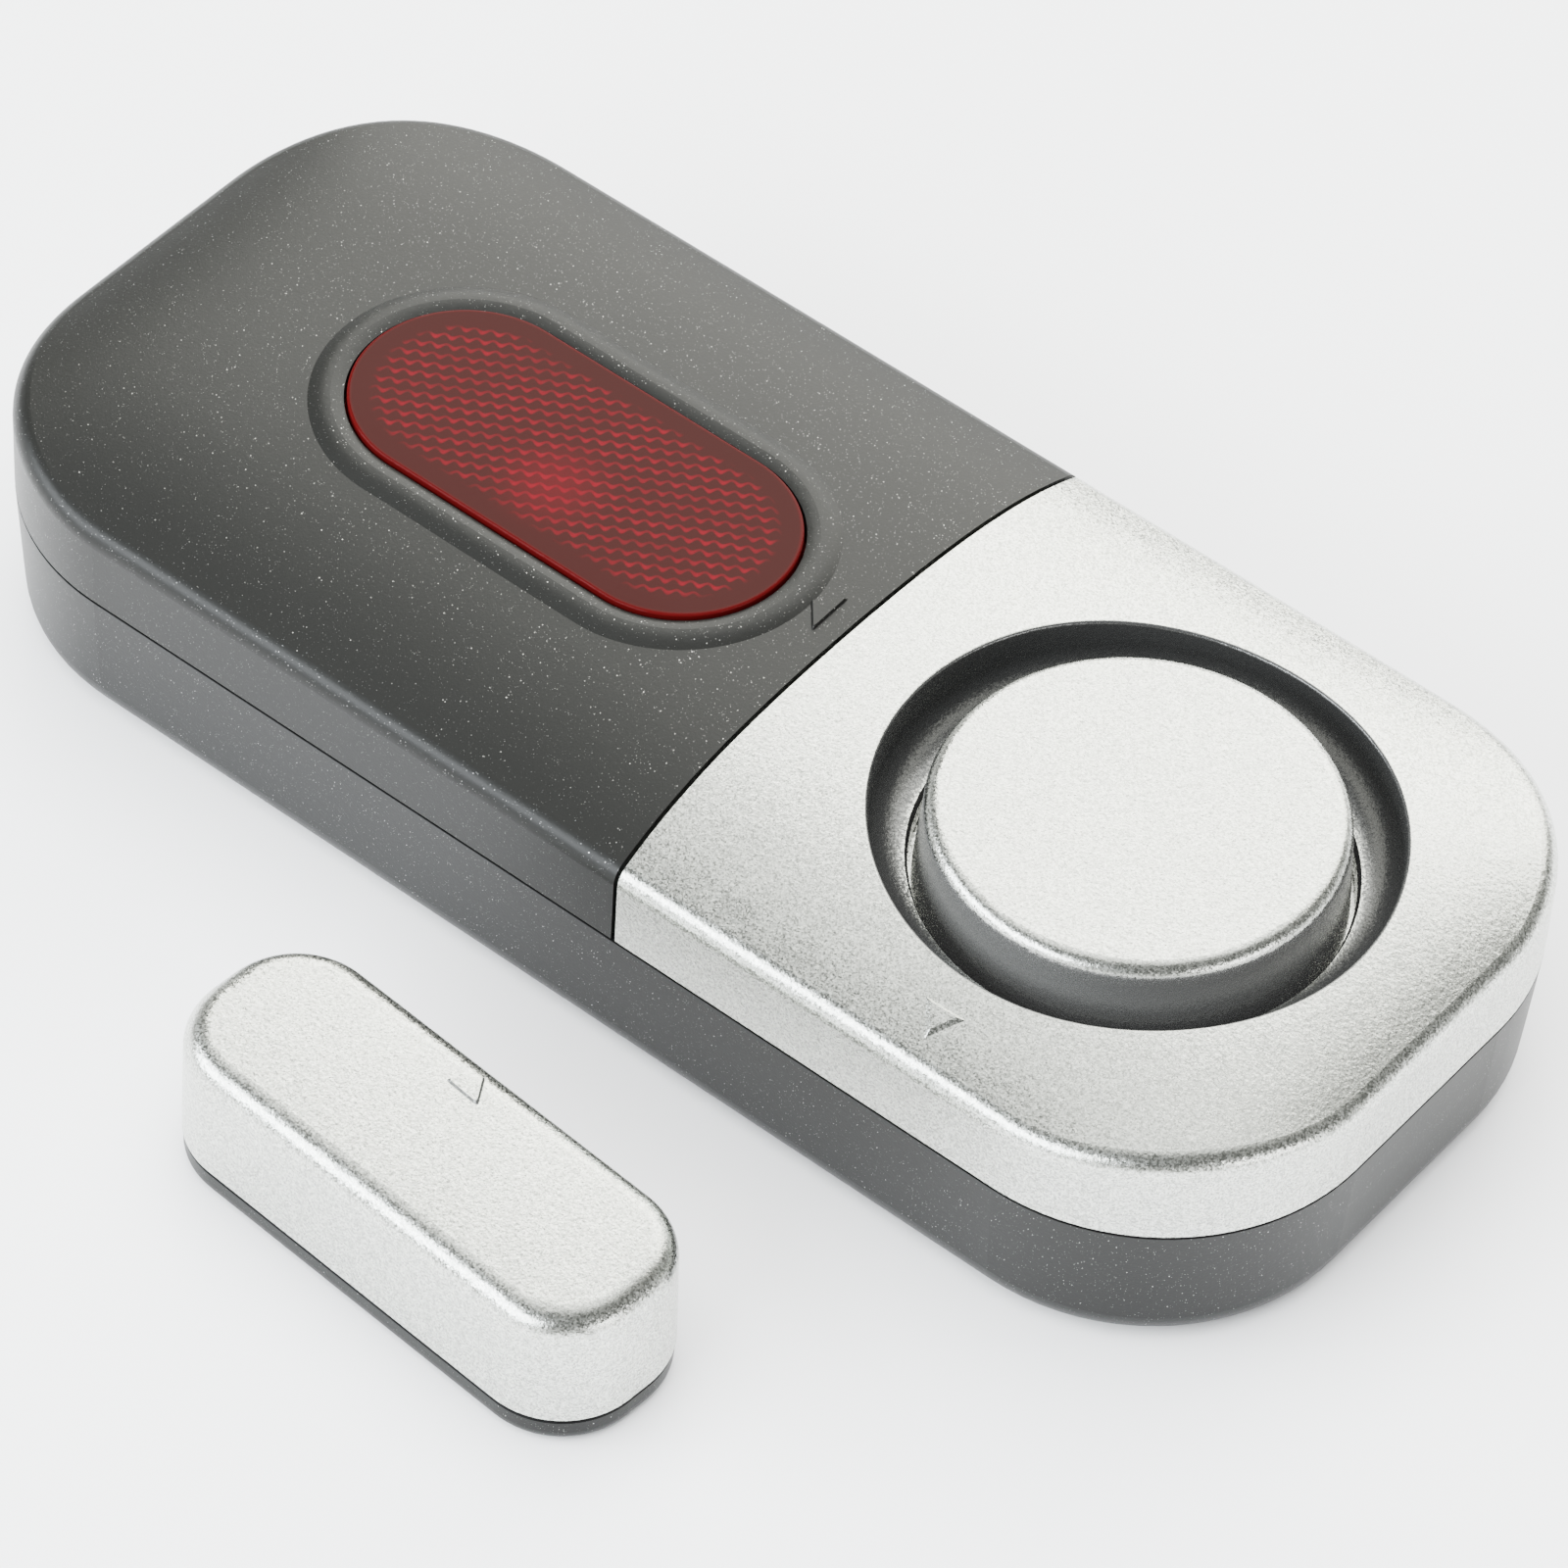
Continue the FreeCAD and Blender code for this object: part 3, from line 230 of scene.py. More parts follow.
class Graph:
    """Short calls for placing and linking the nodes of one tree."""

    def __init__(self, tree):
        self.tree = tree
        self.column = 0

    def add(self, kind, **settings):
        node = self.tree.nodes.new(kind)
        node.location = (self.column * 180, 0)
        self.column += 1
        for key, value in settings.items():
            setattr(node, key, value)
        return node

    def put(self, socket, value):
        if isinstance(value, bpy.types.NodeSocket):
            self.tree.links.new(value, socket)
        elif value is not None:
            socket.default_value = value

    def put_colour(self, socket, value):
        self.put(socket, value if isinstance(value, bpy.types.NodeSocket) else rgb(value))

    def math(self, operation, a, b=None, clamp=False):
        node = self.add("ShaderNodeMath", operation=operation, use_clamp=clamp)
        for socket, value in zip(node.inputs, (a, b)):
            self.put(socket, value)
        return node.outputs[0]

    def times(self, a, b):
        return self.math("MULTIPLY", a, b)

    def plus(self, a, b):
        return self.math("ADD", a, b)

    def minus(self, a, b):
        return self.math("SUBTRACT", a, b)

    def over(self, a, b):
        return self.math("DIVIDE", a, b)

    def vector(self, operation, a, b=None, scale=None):
        node = self.add("ShaderNodeVectorMath", operation=operation)
        self.put(node.inputs[0], a)
        self.put(node.inputs[1], b)
        if scale is not None:
            self.put(node.inputs[3], scale)
        is_value = operation in ("LENGTH", "DISTANCE", "DOT_PRODUCT")
        return node.outputs["Value" if is_value else "Vector"]

    def ramp(self, value, low, high, to_low=0.0, to_high=1.0, smooth=True):
        """Turns value from low..high into to_low..to_high, held at both ends."""
        kind = "SMOOTHSTEP" if smooth else "LINEAR"
        node = self.add("ShaderNodeMapRange", interpolation_type=kind)
        for name, entry in (("Value", value), ("From Min", low), ("From Max", high),
                            ("To Min", to_low), ("To Max", to_high)):
            self.put(node.inputs[name], entry)
        return node.outputs["Result"]

    def mix_colour(self, share, a, b):
        node = self.add("ShaderNodeMix", data_type="RGBA")
        self.put(node.inputs[0], share)
        self.put_colour(node.inputs[6], a)
        self.put_colour(node.inputs[7], b)
        return node.outputs[2]

    def mix_value(self, share, a, b):
        node = self.add("ShaderNodeMix", data_type="FLOAT")
        for socket, value in ((node.inputs[0], share), (node.inputs[2], a), (node.inputs[3], b)):
            self.put(socket, value)
        return node.outputs[0]

    def noise(self, vector, scale, detail=2.0, roughness=0.5):
        node = self.add("ShaderNodeTexNoise")
        self.put(node.inputs["Vector"], vector)
        for name, value in (("Scale", scale), ("Detail", detail), ("Roughness", roughness)):
            self.put(node.inputs[name], value)
        return node.outputs["Fac"]

    def cells(self, vector, pitch):
        node = self.add("ShaderNodeTexVoronoi")
        self.put(node.inputs["Vector"], vector)
        self.put(node.inputs["Scale"], self.over(1.0, pitch))
        return node.outputs["Distance"], node.outputs["Color"]

    def bump(self, height, distance, normal=None):
        node = self.add("ShaderNodeBump")
        for name, value in (("Height", height), ("Distance", distance), ("Strength", 1.0),
                            ("Normal", normal)):
            self.put(node.inputs[name], value)
        return node.outputs["Normal"]

    def lean(self, normal, way, share):
        """Normal leaned towards way by a share of it."""
        return self.vector(
            "NORMALIZE", self.vector("ADD", normal, self.vector("SCALE", way, None, share)))

    def xyz(self, vector):
        node = self.add("ShaderNodeSeparateXYZ")
        self.put(node.inputs[0], vector)
        return node.outputs[0], node.outputs[1], node.outputs[2]

    def join(self, x, y, z):
        node = self.add("ShaderNodeCombineXYZ")
        for socket, value in zip(node.inputs, (x, y, z)):
            self.put(socket, value)
        return node.outputs[0]

    def place(self):
        return self.add("ShaderNodeTexCoord").outputs["Object"]

    def group(self, name, **inputs):
        node = self.add("ShaderNodeGroup")
        node.node_tree = bpy.data.node_groups[name]
        for key, value in inputs.items():
            self.put(node.inputs[key.replace("_", " ")], value)
        return node.outputs


SOCKETS = {"value": "NodeSocketFloat", "vector": "NodeSocketVector"}


def new_group(name, inputs, outputs):
    """Empty group with named inputs (name, kind, default) and outputs (name, kind)."""
    tree = bpy.data.node_groups.new(name, "ShaderNodeTree")
    for label, kind, default in inputs:
        socket = tree.interface.new_socket(
            name=label, in_out="INPUT", socket_type=SOCKETS[kind])
        socket.default_value = default
    for label, kind in outputs:
        tree.interface.new_socket(name=label, in_out="OUTPUT", socket_type=SOCKETS[kind])
    graph = Graph(tree)
    start = graph.add("NodeGroupInput")
    end = graph.add("NodeGroupOutput")
    return graph, start.outputs, end.inputs


def make_fleck_group():
    """Bright metal flecks scattered through a moulding, each with its own size and lean."""
    g, ins, outs = new_group(
        "Metal flecks",
        [("Pitch", "value", 0.0003), ("Share", "value", 0.4), ("Size", "value", 0.18)],
        [("Mask", "value"), ("Glow", "value"), ("Lean", "vector")])
    distance, colour = g.cells(g.place(), ins["Pitch"])
    pick, bright, width = g.xyz(colour)
    chosen = g.math("LESS_THAN", pick, ins["Share"])
    radius = g.times(g.ramp(width, 0.0, 1.0, 0.55, 1.0, smooth=False), ins["Size"])
    near = g.ramp(g.over(distance, radius), 0.6, 1.0, 1.0, 0.0)
    mask = g.times(chosen, near)
    g.put(outs["Mask"], mask)
    g.put(outs["Glow"], g.times(mask, g.ramp(bright, 0.0, 1.0, 0.15, 1.0, smooth=False)))
    g.put(outs["Lean"], g.vector("SUBTRACT", colour, (0.5, 0.5, 0.5)))


def make_paint_group():
    """Grain of a sprayed metallic paint over a finely textured moulding."""
    g, ins, outs = new_group(
        "Metallic grain",
        [("Pitch", "value", 0.00012), ("Lean", "value", 0.16),
         ("Texture pitch", "value", 0.00026), ("Texture depth", "value", 0.000012)],
        [("Normal", "vector"), ("Shade", "value"), ("Grain", "value")])
    place = g.place()
    colour = g.cells(place, ins["Pitch"])[1]
    pimples = g.noise(place, g.over(1.0, ins["Texture pitch"]), 2.0, 0.6)
    surface = g.bump(pimples, ins["Texture depth"])
    way = g.vector("SUBTRACT", colour, (0.5, 0.5, 0.5))
    g.put(outs["Normal"], g.lean(surface, way, ins["Lean"]))
    g.put(outs["Grain"], g.xyz(colour)[0])
    g.put(outs["Shade"], g.noise(place, 90.0, 3.0))


def make_painted_shade_group():
    """Painted shade on silver paint: steep sides in a round recess, and beyond its inner radius,
    with a grainy edge.
    """
    g, ins, outs = new_group(
        "Thin spray",
        [("Centre", "vector", (0.0, 0.0, 0.0)), ("Reach", "value", 0.0196),
         ("Inner", "value", 0.0164), ("Steep", "value", 0.8), ("Level", "value", 1.0),
         ("Grain", "value", 0.5)],
        [("Thin", "value")])
    offset = g.vector("SUBTRACT", g.place(), ins["Centre"])
    radius = g.vector("LENGTH", g.vector("MULTIPLY", offset, (1.0, 1.0, 0.0)))
    inside = g.ramp(g.minus(ins["Reach"], radius), 0.0, 0.0001)
    upward = g.xyz(g.add("ShaderNodeNewGeometry").outputs["Normal"])[2]
    steep = g.ramp(upward, ins["Steep"], ins["Level"], 1.0, 0.0)
    outward = g.ramp(g.minus(radius, ins["Inner"]), 0.0, 0.0020)
    shade_share = g.times(inside, g.math("MAXIMUM", steep, outward))
    speckled = g.plus(shade_share, g.times(g.minus(ins["Grain"], 0.5), 0.5))
    g.put(outs["Thin"], g.times(g.ramp(speckled, 0.2, 0.8), g.ramp(shade_share, 0.0, 0.1)))


def make_gap_shade_group():
    """Painted shade: a dark line for the narrow gap where two mouldings meet at one height."""
    g, ins, outs = new_group(
        "Parting line", [("Height", "value", 0.0122), ("Width", "value", 0.00012)],
        [("Mask", "value")])
    away = g.math("ABSOLUTE", g.minus(g.xyz(g.place())[2], ins["Height"]))
    g.put(outs["Mask"], g.ramp(g.over(away, ins["Width"]), 0.8, 1.1, 1.0, 0.0))


def make_scratch_group():
    """Hair-fine curled scratches in a few patches of a painted surface."""
    g, ins, outs = new_group("Hair scratches", [("Share", "value", 0.5)], [("Mask", "value")])
    place = g.place()
    line = g.math("ABSOLUTE", g.minus(g.noise(place, 360.0, 1.0), 0.5))
    patch = g.ramp(g.noise(place, 170.0, 1.0), 0.54, 0.62)
    mask = g.times(g.ramp(line, 0.0, 0.008, 1.0, 0.0), patch)
    g.put(outs["Mask"], g.times(mask, ins["Share"]))


def make_texture_group():
    """Fine spark-eroded texture of a moulded plastic surface."""
    g, ins, outs = new_group(
        "Moulded texture",
        [("Pitch", "value", 0.00018), ("Depth", "value", 0.000006)],
        [("Normal", "vector"), ("Patch", "value")])
    place = g.place()
    fine = g.noise(place, g.over(1.0, ins["Pitch"]), 2.0, 0.6)
    g.put(outs["Normal"], g.bump(fine, ins["Depth"]))
    g.put(outs["Patch"], g.noise(place, 60.0, 3.0))


def new_material(name):
    """New material with its graph and its shader."""
    material = bpy.data.materials.new(name)
    material.use_nodes = True
    return material, Graph(material.node_tree), material.node_tree.nodes["Principled BSDF"]


def set_shader(graph, shader, **values):
    for key, value in values.items():
        graph.put(shader.inputs[key.replace("_", " ")], value)


def silver_paint(name, settings, painted_shading=None, shade_colour=None, scratches=0.0):
    """Satin metallic paint, with painted shade in a darker colour and less metal on its steep and
    recessed parts.
    """
    material, g, shader = new_material(name)
    grain = g.group("Metallic grain", Pitch=settings.silver_grain, **PAINT_GRAIN)
    darkest, lightest = ([c * share for c in settings.silver] for share in GRAIN_SHARES)
    base = g.mix_colour(grain["Grain"], darkest, lightest)
    base = g.mix_colour(g.ramp(grain["Shade"], 0.3, 0.7, 0.0, 0.05), base, settings.silver)
    metallic = PAINT_METALLIC
    if scratches:
        mask = g.group("Hair scratches", Share=scratches)["Mask"]
        base = g.mix_colour(mask, base, SCRATCH_COLOUR)
    # Painted shade: darker colour and less metal where the paint would reflect the dark
    # surroundings
    if painted_shading:
        shade_share = g.group("Thin spray", Grain=grain["Grain"], **painted_shading)["Thin"]
        base = g.mix_colour(shade_share, base, shade_colour)
        metallic = g.mix_value(shade_share, PAINT_METALLIC, SHADED_METALLIC)
    set_shader(g, shader, Base_Color=base, Metallic=metallic, Normal=grain["Normal"],
               Roughness=g.ramp(grain["Grain"], 0.0, 1.0, 0.20, 0.32))
    return material


def dark_moulding(name, settings, gap_shade=None):
    """Anthracite moulding with scattered metal flecks, and painted shade as a dark line where it
    meets the next moulding.
    """
    material, g, shader = new_material(name)
    texture = g.group("Moulded texture", Pitch=0.00022, Depth=0.000010)
    pitch = settings.fleck_pitch
    coarse = g.group("Metal flecks", Pitch=pitch, Share=0.44, Size=0.150)
    fine = g.group("Metal flecks", Pitch=pitch * 0.5, Share=0.5, Size=0.2)
    mask = g.math("MAXIMUM", coarse["Mask"], fine["Mask"])
    glow = g.math("MAXIMUM", coarse["Glow"], g.times(fine["Glow"], 0.5))
    lighter = [c * 1.25 for c in settings.anthracite]
    patch = g.ramp(texture["Patch"], 0.3, 0.7, 0.0, 0.3)
    base = g.mix_colour(patch, settings.anthracite, lighter)
    base = g.mix_colour(glow, base, FLECK_COLOUR)
    roughness = g.ramp(mask, 0.0, 0.5, 0.40, 0.28)
    # Painted shade for the gap: near black, with no flecks and full roughness
    if gap_shade:
        line = g.group("Parting line", **gap_shade)["Mask"]
        base = g.mix_colour(line, base, GAP_SHADE_COLOUR)
        glow = g.times(glow, g.minus(1.0, line))
        roughness = g.mix_value(line, roughness, 1.0)
    normal = g.lean(texture["Normal"], coarse["Lean"], g.times(mask, FLECK_LEAN))
    set_shader(g, shader, Base_Color=base, Roughness=roughness, Specular_IOR_Level=0.19,
               Metallic=g.ramp(glow, 0.0, 0.1, 0.0, 1.0), Normal=normal)
    return material


def red_window(settings):
    """Glossy red window over rows of small prisms, with painted light on the ridges and a painted
    glow over the middle lamp.
    """
    material, g, shader = new_material("Red window")
    x, y, _ = g.xyz(g.vector("SUBTRACT", g.place(), (WINDOW_X * MM, 0.0, 0.0)))
    cos, sin = math.cos(ROW_TURN), math.sin(ROW_TURN)
    along = g.plus(g.times(x, cos), g.times(y, sin))
    across = g.minus(g.times(y, cos), g.times(x, sin))

    # Wavy ridges between rows of hexagonal cells, painted in a lighter red for the light that the
    # prisms send back
    pitch = settings.ridge_pitch
    row_height = pitch * math.sqrt(3) / 2
    row = g.over(across, row_height)
    row_number = g.math("ROUND", row)
    turns = g.plus(g.over(along, pitch), g.times(row_number, ROW_SHIFT))
    wave = g.math("COSINE", g.times(turns, 2 * math.pi))
    offset = g.times(g.minus(row, row_number), row_height)
    line = g.math("ABSOLUTE", g.plus(offset, g.times(wave, pitch * 0.15)))
    width = g.ramp(wave, -1.0, 1.0, pitch * 0.12, pitch * 0.20, smooth=False)
    ridge = g.ramp(g.over(line, width), 0.35, 1.25, 1.0, 0.0)
    ridge = g.times(ridge, g.ramp(wave, -1.0, 1.0, 0.45, 1.0, smooth=False))

    # The field of ridges ends short of the window's edge
    half_straight = (WINDOW_LENGTH - WINDOW_WIDTH) / 2 * MM
    beyond = g.math("MAXIMUM", g.minus(g.math("ABSOLUTE", x), half_straight), 0.0)
    from_middle = g.math("SQRT", g.plus(g.times(beyond, beyond), g.times(y, y)))
    edge = WINDOW_WIDTH / 2 * MM
    field = g.ramp(from_middle, edge - 0.0024, edge - 0.0015, 1.0, 0.0)
    patchy = g.ramp(g.noise(g.place(), 420.0, 2.0), 0.25, 0.7, 0.55, 1.0)
    lit = g.times(g.times(ridge, field), patchy)
    # Painted glow over the middle lamp, which gives no light
    from_glow = g.vector("DISTANCE", g.join(x, y, 0.0), GLOW_PLACE)
    glow = g.ramp(from_glow, 0.0, GLOW_RADIUS, 1.0, 0.0)
    lit = g.math("ADD", lit, g.times(glow, GLOW_SHARE), clamp=True)
    base = g.mix_colour(lit, settings.window_red, settings.window_bright)
    rim = g.ramp(from_middle, edge - RIM_WIDTH, edge, 0.0, RIM_SHARE)
    base = g.mix_colour(rim, base, RIM_COLOUR)
    set_shader(g, shader, Base_Color=base, Roughness=0.16, IOR=1.5, Specular_IOR_Level=0.032,
               Normal=g.bump(g.noise(g.place(), 2500.0, 1.0), 0.000002))
    return material


def plain_finish(name, colour, roughness, metallic, pitch, depth, **extra):
    """Plain moulded, plated or rubbery finish with a fine texture and slight patches."""
    material, g, shader = new_material(name)
    texture = g.group("Moulded texture", Pitch=pitch, Depth=depth)
    darker = [c * 0.85 for c in colour]
    base = g.mix_colour(g.ramp(texture["Patch"], 0.3, 0.7), colour, darker)
    rough = g.ramp(texture["Patch"], 0.3, 0.7, roughness, min(roughness * 1.15, 1.0))
    set_shader(g, shader, Base_Color=base, Roughness=rough, Metallic=metallic,
               Normal=texture["Normal"], **extra)
    return material


def circuit_finish():
    """Green solder mask with tracks that stand out a little."""
    material, g, shader = new_material("Circuit board")
    lines = g.noise(g.vector("MULTIPLY", g.place(), (1.0, 0.12, 1.0)), 900.0, 0.0)
    track = g.ramp(g.math("ABSOLUTE", g.minus(lines, 0.5)), 0.01, 0.04, 1.0, 0.0)
    base = g.mix_colour(g.times(track, 0.5), (0.012, 0.085, 0.035), (0.035, 0.17, 0.075))
    set_shader(g, shader, Base_Color=base, Roughness=0.32, Coat_Weight=0.3,
               Coat_Roughness=0.2, Normal=g.bump(track, 0.00002))
    return material


def cell_finish(name, nub_side):
    """Cell with a plain jacket, a light band at its nub end and bare steel ends."""
    material, g, shader = new_material(name)
    low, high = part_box(name)
    place = g.place()
    way = g.over(g.minus(g.xyz(place)[0], low.x), high.x - low.x)
    if nub_side < 0:
        way = g.minus(1.0, way)
    band = g.ramp(way, 0.70, 0.702)
    steel = g.math("MAXIMUM", g.ramp(way, 0.968, 0.970), g.ramp(way, 0.006, 0.008, 1.0, 0.0))
    base = g.mix_colour(band, (0.035, 0.038, 0.045), (0.56, 0.40, 0.16))
    base = g.mix_colour(steel, base, (0.66, 0.66, 0.64))
    set_shader(g, shader, Base_Color=base, Metallic=g.mix_value(steel, 0.35, 1.0),
               Roughness=g.ramp(g.noise(place, 700.0), 0.3, 0.7, 0.26, 0.36),
               Coat_Weight=0.4, Coat_Roughness=0.12)
    return material


def pad_finish():
    """Foam tape under its paper liner: warm white, faintly wrinkled."""
    material, g, shader = new_material("Foam tape liner")
    place = g.place()
    wrinkles = g.noise(place, 130.0, 4.0, 0.65)
    fibres = g.noise(place, 5200.0, 1.0)
    base = g.mix_colour(g.ramp(fibres, 0.3, 0.7), (0.80, 0.78, 0.72), (0.72, 0.69, 0.62))
    set_shader(g, shader, Base_Color=base, Roughness=0.62,
               Normal=g.bump(fibres, 0.000004, g.bump(wrinkles, 0.00010)))
    return material


def glass_finish():
    """Clear glass of the reed switch, tinted a little."""
    material, g, shader = new_material("Switch glass")
    tint = g.mix_colour(g.noise(g.place(), 900.0), (0.80, 0.93, 0.90), (0.72, 0.88, 0.84))
    set_shader(g, shader, Base_Color=tint, Roughness=0.05, IOR=1.5, Transmission_Weight=0.85)
    return material


def finish_node(node, material):
    """Gives one of the model's solids its finish."""
    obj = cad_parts[node]
    if not obj.material_slots:
        obj.data.materials.append(material)
    for slot in obj.material_slots:
        slot.material = material


def link_mesh(name, mesh):
    """New object in the scene from a finished bmesh, which is freed."""
    data = bpy.data.meshes.new(name)
    mesh.to_mesh(data)
    mesh.free()
    obj = bpy.data.objects.new(name, data)
    bpy.context.scene.collection.objects.link(obj)
    return obj


def rounded(corners, radius, steps=5):
    """Corner points of a closed outline, each corner turned into a short arc."""
    points = []
    total = len(corners)
    for i, corner in enumerate(corners):
        here = Vector(corner)
        before = (Vector(corners[i - 1]) - here).normalized()
        after = (Vector(corners[(i + 1) % total]) - here).normalized()
        run = radius / math.tan(before.angle(after) / 2)
        start = here + before * run
        end = here + after * run
        for k in range(steps + 1):
            t = k / steps
            points.append((1 - t) ** 2 * start + 2 * t * (1 - t) * here + t ** 2 * end)
    return points


def raised_triangle(name, corners, corner_r, surface, rise, slope, paint, body):
    """Flat-topped arrow mark with sloping sides and small round corners, on a curved surface."""
    points = rounded(corners, corner_r)
    centre = sum((Vector(c) for c in corners), Vector((0.0, 0.0))) / 3

    # Rings from the buried root up the slope and in over the flat top: size and lift
    rings = (
        (1.0, -MARK_ROOT), (1.0, 0.0), (1.0 - 0.93 * slope, 0.96 * rise), (1.0 - slope, rise),
        (0.55, rise), (0.2, rise),
    )
    mesh = bmesh.new()
    rows = []
    for share, lift in rings:
        flat = [centre + (p - centre) * share for p in points]
        rows.append([mesh.verts.new((q.x * MM, q.y * MM, (surface(q.x, q.y) + lift) * MM))
                     for q in flat])
    count = len(points)
    for low, high in zip(rows, rows[1:]):
        for i in range(count):
            j = (i + 1) % count
            mesh.faces.new((low[i], low[j], high[j], high[i]))
    mesh.faces.new(rows[-1])
    mesh.faces.new(tuple(reversed(rows[0])))
    bmesh.ops.recalc_face_normals(mesh, faces=mesh.faces)
    obj = link_mesh(name, mesh)
    obj.data.materials.append(bpy.data.materials[paint])
    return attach(obj, body)


class ALARM_OT_finishes(bpy.types.Operator):
    """Build the shared effects and give every solid of the model its finish"""
    bl_idname = "alarm.finishes"
    bl_label = "Finishes"

    def execute(self, context):
        settings = context.scene.alarm_finish
        for make_group in (make_fleck_group, make_paint_group, make_painted_shade_group,
                           make_texture_group, make_gap_shade_group, make_scratch_group):
            make_group()
        # Silver paint with painted shade on the marks' sloping sides
        silver_paint("Silver mark paint", settings, MARK_PAINTED_SHADE, MARK_SHADE_COLOUR)
        lamp = plain_finish("Red lamp epoxy", (0.42, 0.012, 0.012), 0.10, 0.0, 0.0008, 0.000001,
                            Transmission_Weight=0.35, IOR=1.5)
        finishes = {
            # The cover's paint carries painted shade in its recess, the button's paint down its
            # side
            "front_cover": silver_paint("Silver cover paint", settings, COVER_PAINTED_SHADE, COVER_SHADE_COLOUR),
            "push_button": silver_paint("Silver button paint", settings, BUTTON_PAINTED_SHADE, BUTTON_SHADE_COLOUR),
            "magnet_cover": silver_paint("Silver magnet paint", settings, scratches=0.5),
            "battery_cover": dark_moulding("Anthracite moulding", settings),
            # The base and the back plate carry a line of painted shade at their gaps
            "base_shell": dark_moulding("Anthracite base moulding", settings, BASE_GAP_SHADE),
            "magnet_plate": dark_moulding("Anthracite plate moulding", settings, MAGNET_GAP_SHADE),
            "light_lens": red_window(settings),
            "circuit_board": circuit_finish(),
            "reed_switch": glass_finish(),
            "battery_cell_1": cell_finish("battery_cell_1", -1),
            "battery_cell_2": cell_finish("battery_cell_2", 1),
        }
        finishes.update(dict.fromkeys(LAMPS, lamp))
        finishes.update(dict.fromkeys(PADS, pad_finish()))
        for name, *values, nodes in PLAIN_FINISHES:
            finishes.update(dict.fromkeys(nodes, plain_finish(name, *values)))
        missing = sorted(set(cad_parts) - set(finishes))
        if missing:
            raise RuntimeError("no finish for %s" % missing)
        for node, material in finishes.items():
            finish_node(node, material)
        return {"FINISHED"}


class ALARM_OT_marks(bpy.types.Operator):
    """Add the raised arrow marks on both covers and the magnet unit"""
    bl_idname = "alarm.marks"
    bl_label = "Arrow marks"

    def execute(self, context):
        marks = context.scene.alarm_marks
        rise = marks.rise / MM
        slope = marks.slope / MM / MARK_REACH
        raised_triangle("cover_arrow", COVER_CORNERS, 0.12, crown_z, rise, slope,
                        "Anthracite moulding", "cover")
        raised_triangle("front_arrow", FRONT_CORNERS, 0.10, crown_z, rise, FRONT_SLOPE,
                        "Silver magnet paint", "alarm")
        raised_triangle("magnet_arrow", MAGNET_CORNERS, 0.22, magnet_z, marks.magnet_rise / MM,
                        slope, "Silver mark paint", "alarm")
        return {"FINISHED"}


class ALARM_OT_stage(bpy.types.Operator):
    """Lay the floor, set the softboxes and stand the camera"""
    bl_idname = "alarm.stage"
    bl_label = "Studio"

    def execute(self, context):
        stage = context.scene.alarm_stage
        lay_floor(stage)
        for name, strength, place, size, colour, in_gloss in SOFTBOXES:
            softbox(name, place, size, getattr(stage, strength), colour, in_gloss)
        room_light(stage)
        stand_camera()
        return {"FINISHED"}


def lay_floor(stage):
    """Plain pale floor under the alarm."""
    mesh = bmesh.new()
    bmesh.ops.create_grid(mesh, x_segments=8, y_segments=8, size=1.6)
    floor = link_mesh("Studio floor", mesh)
    material, g, shader = new_material("Pale floor")
    tone = g.mix_colour(g.noise(g.place(), 3.0), stage.floor, [c * 0.99 for c in stage.floor])
    set_shader(g, shader, Base_Color=tone, Roughness=0.85, Specular_IOR_Level=0.2)
    floor.data.materials.append(material)


def softbox(name, place, size, power, colour, in_gloss):
    """Flat rectangular light that looks at the middle of the floor."""
    data = bpy.data.lights.new(name, "AREA")
    data.color = colour
    data.shape = "RECTANGLE"
    data.size, data.size_y = size
    data.energy = power
    light = bpy.data.objects.new(name, data)
    light.location = place
    light.rotation_euler = (-light.location).to_track_quat("-Z", "Y").to_euler()
    light.visible_glossy = in_gloss
    bpy.context.scene.collection.objects.link(light)


def room_light(stage):
    """Pale backdrop low all around, the dim room above it and the ceiling lit at the rear."""
    world = bpy.data.worlds.new("Studio room")
    world.use_nodes = True
    g = Graph(world.node_tree)
    way = g.add("ShaderNodeTexCoord").outputs["Generated"]
    height = g.xyz(way)[2]
    to_spot = g.vector("DOT_PRODUCT", way, CEILING_WAY)
    lit = g.ramp(to_spot, 0.86, 0.985, 0.0, stage.ceiling)
    walls = g.ramp(height, 0.10, 0.42, stage.backdrop, stage.room)
    background = world.node_tree.nodes["Background"]
    g.put_colour(background.inputs["Color"], ROOM_COLOUR)
    g.put(background.inputs["Strength"], g.plus(walls, lit))
    bpy.context.scene.world = world


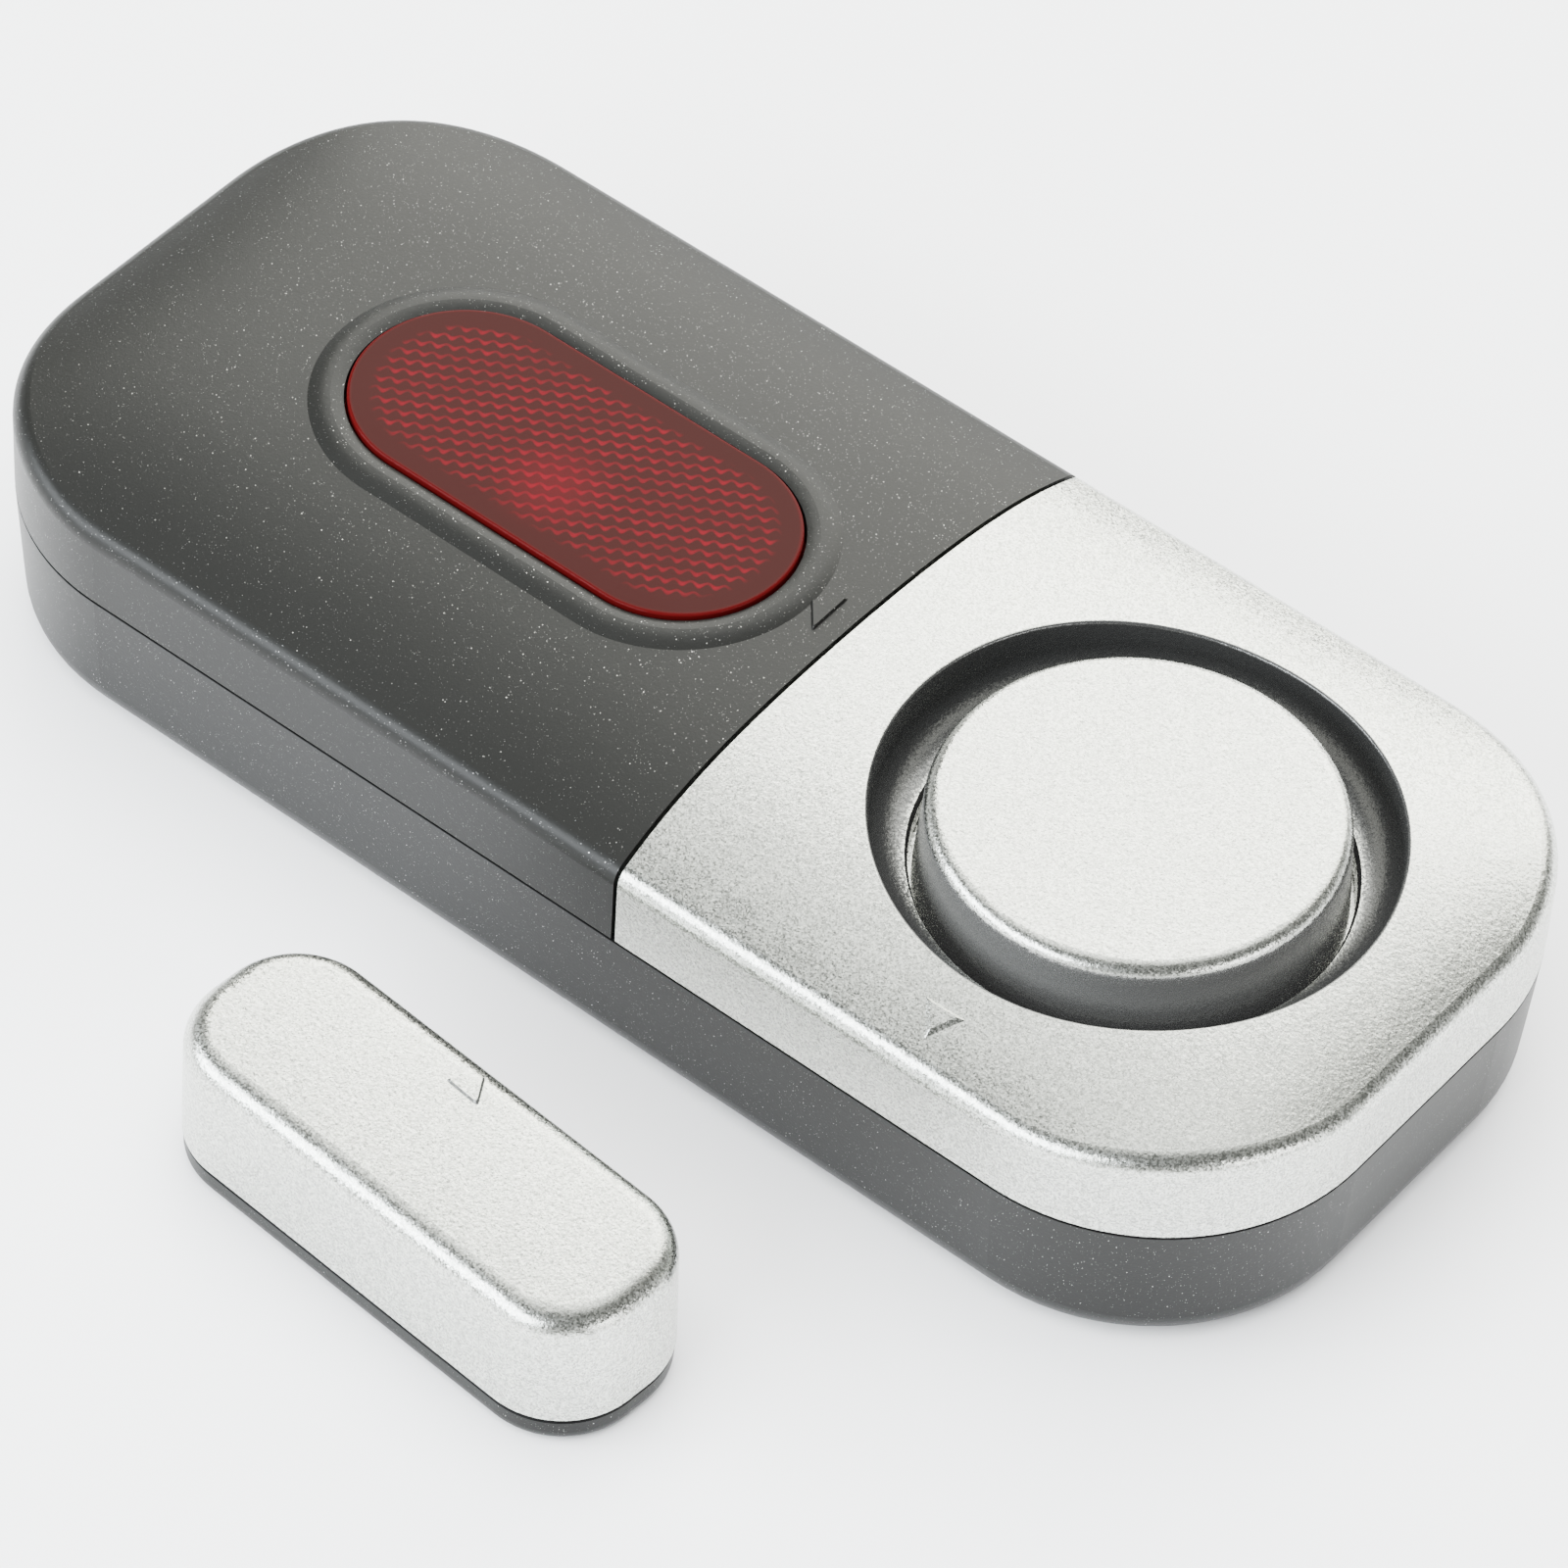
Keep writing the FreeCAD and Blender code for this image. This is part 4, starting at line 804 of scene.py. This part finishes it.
def stand_camera():
    """Camera at the photograph's viewing angle, rolled a little about its own axis."""
    data = bpy.data.cameras.new("Studio camera")
    data.sensor_fit = "HORIZONTAL"
    data.sensor_width = 36.0
    data.lens = CAMERA_LENS
    data.clip_end = 20.0
    data.dof.use_dof = False
    camera = bpy.data.objects.new("Studio camera", data)
    azimuth, elevation, roll = (math.radians(a) for a in CAMERA_ANGLES)
    back = Vector((math.sin(azimuth) * math.cos(elevation),
                   -math.cos(azimuth) * math.cos(elevation), math.sin(elevation)))
    right = Vector((math.cos(azimuth), math.sin(azimuth), 0.0))
    up = back.cross(right)
    across = right * math.cos(roll) + up * math.sin(roll)
    upward = up * math.cos(roll) - right * math.sin(roll)
    turn = Matrix((across, upward, back)).transposed().to_4x4()
    camera.matrix_world = Matrix.Translation(Vector(CAMERA_PLACE) * MM) @ turn
    bpy.context.scene.collection.objects.link(camera)
    bpy.context.scene.camera = camera


class ALARM_PT_sidebar(bpy.types.Panel):
    """Lists the steps that dress the door alarm"""
    bl_idname = "ALARM_PT_sidebar"
    bl_label = "Door alarm"
    bl_space_type = "VIEW_3D"
    bl_region_type = "UI"
    bl_category = "Door alarm"

    def draw(self, context):
        layout = self.layout
        for group in SETTINGS:
            settings = getattr(context.scene, group)
            for key in settings.__annotations__:
                layout.prop(settings, key)
        for operator in STEPS:
            layout.operator(operator.bl_idname)


STEPS = (ALARM_OT_finishes, ALARM_OT_marks, ALARM_OT_stage)
SETTINGS = {
    "alarm_finish": AlarmFinishSettings,
    "alarm_marks": AlarmMarkSettings,
    "alarm_stage": AlarmStageSettings,
}
KINDS = (*SETTINGS.values(), *STEPS, ALARM_PT_sidebar)


def register():
    for kind in KINDS:
        bpy.utils.register_class(kind)
    for name, kind in SETTINGS.items():
        setattr(bpy.types.Scene, name, bpy.props.PointerProperty(type=kind))


def unregister():
    for name in SETTINGS:
        delattr(bpy.types.Scene, name)
    for kind in reversed(KINDS):
        bpy.utils.unregister_class(kind)


def main():
    register()
    for step in STEPS:
        group, name = step.bl_idname.split(".")
        getattr(getattr(bpy.ops, group), name)()


if __name__ == "__main__":
    main()
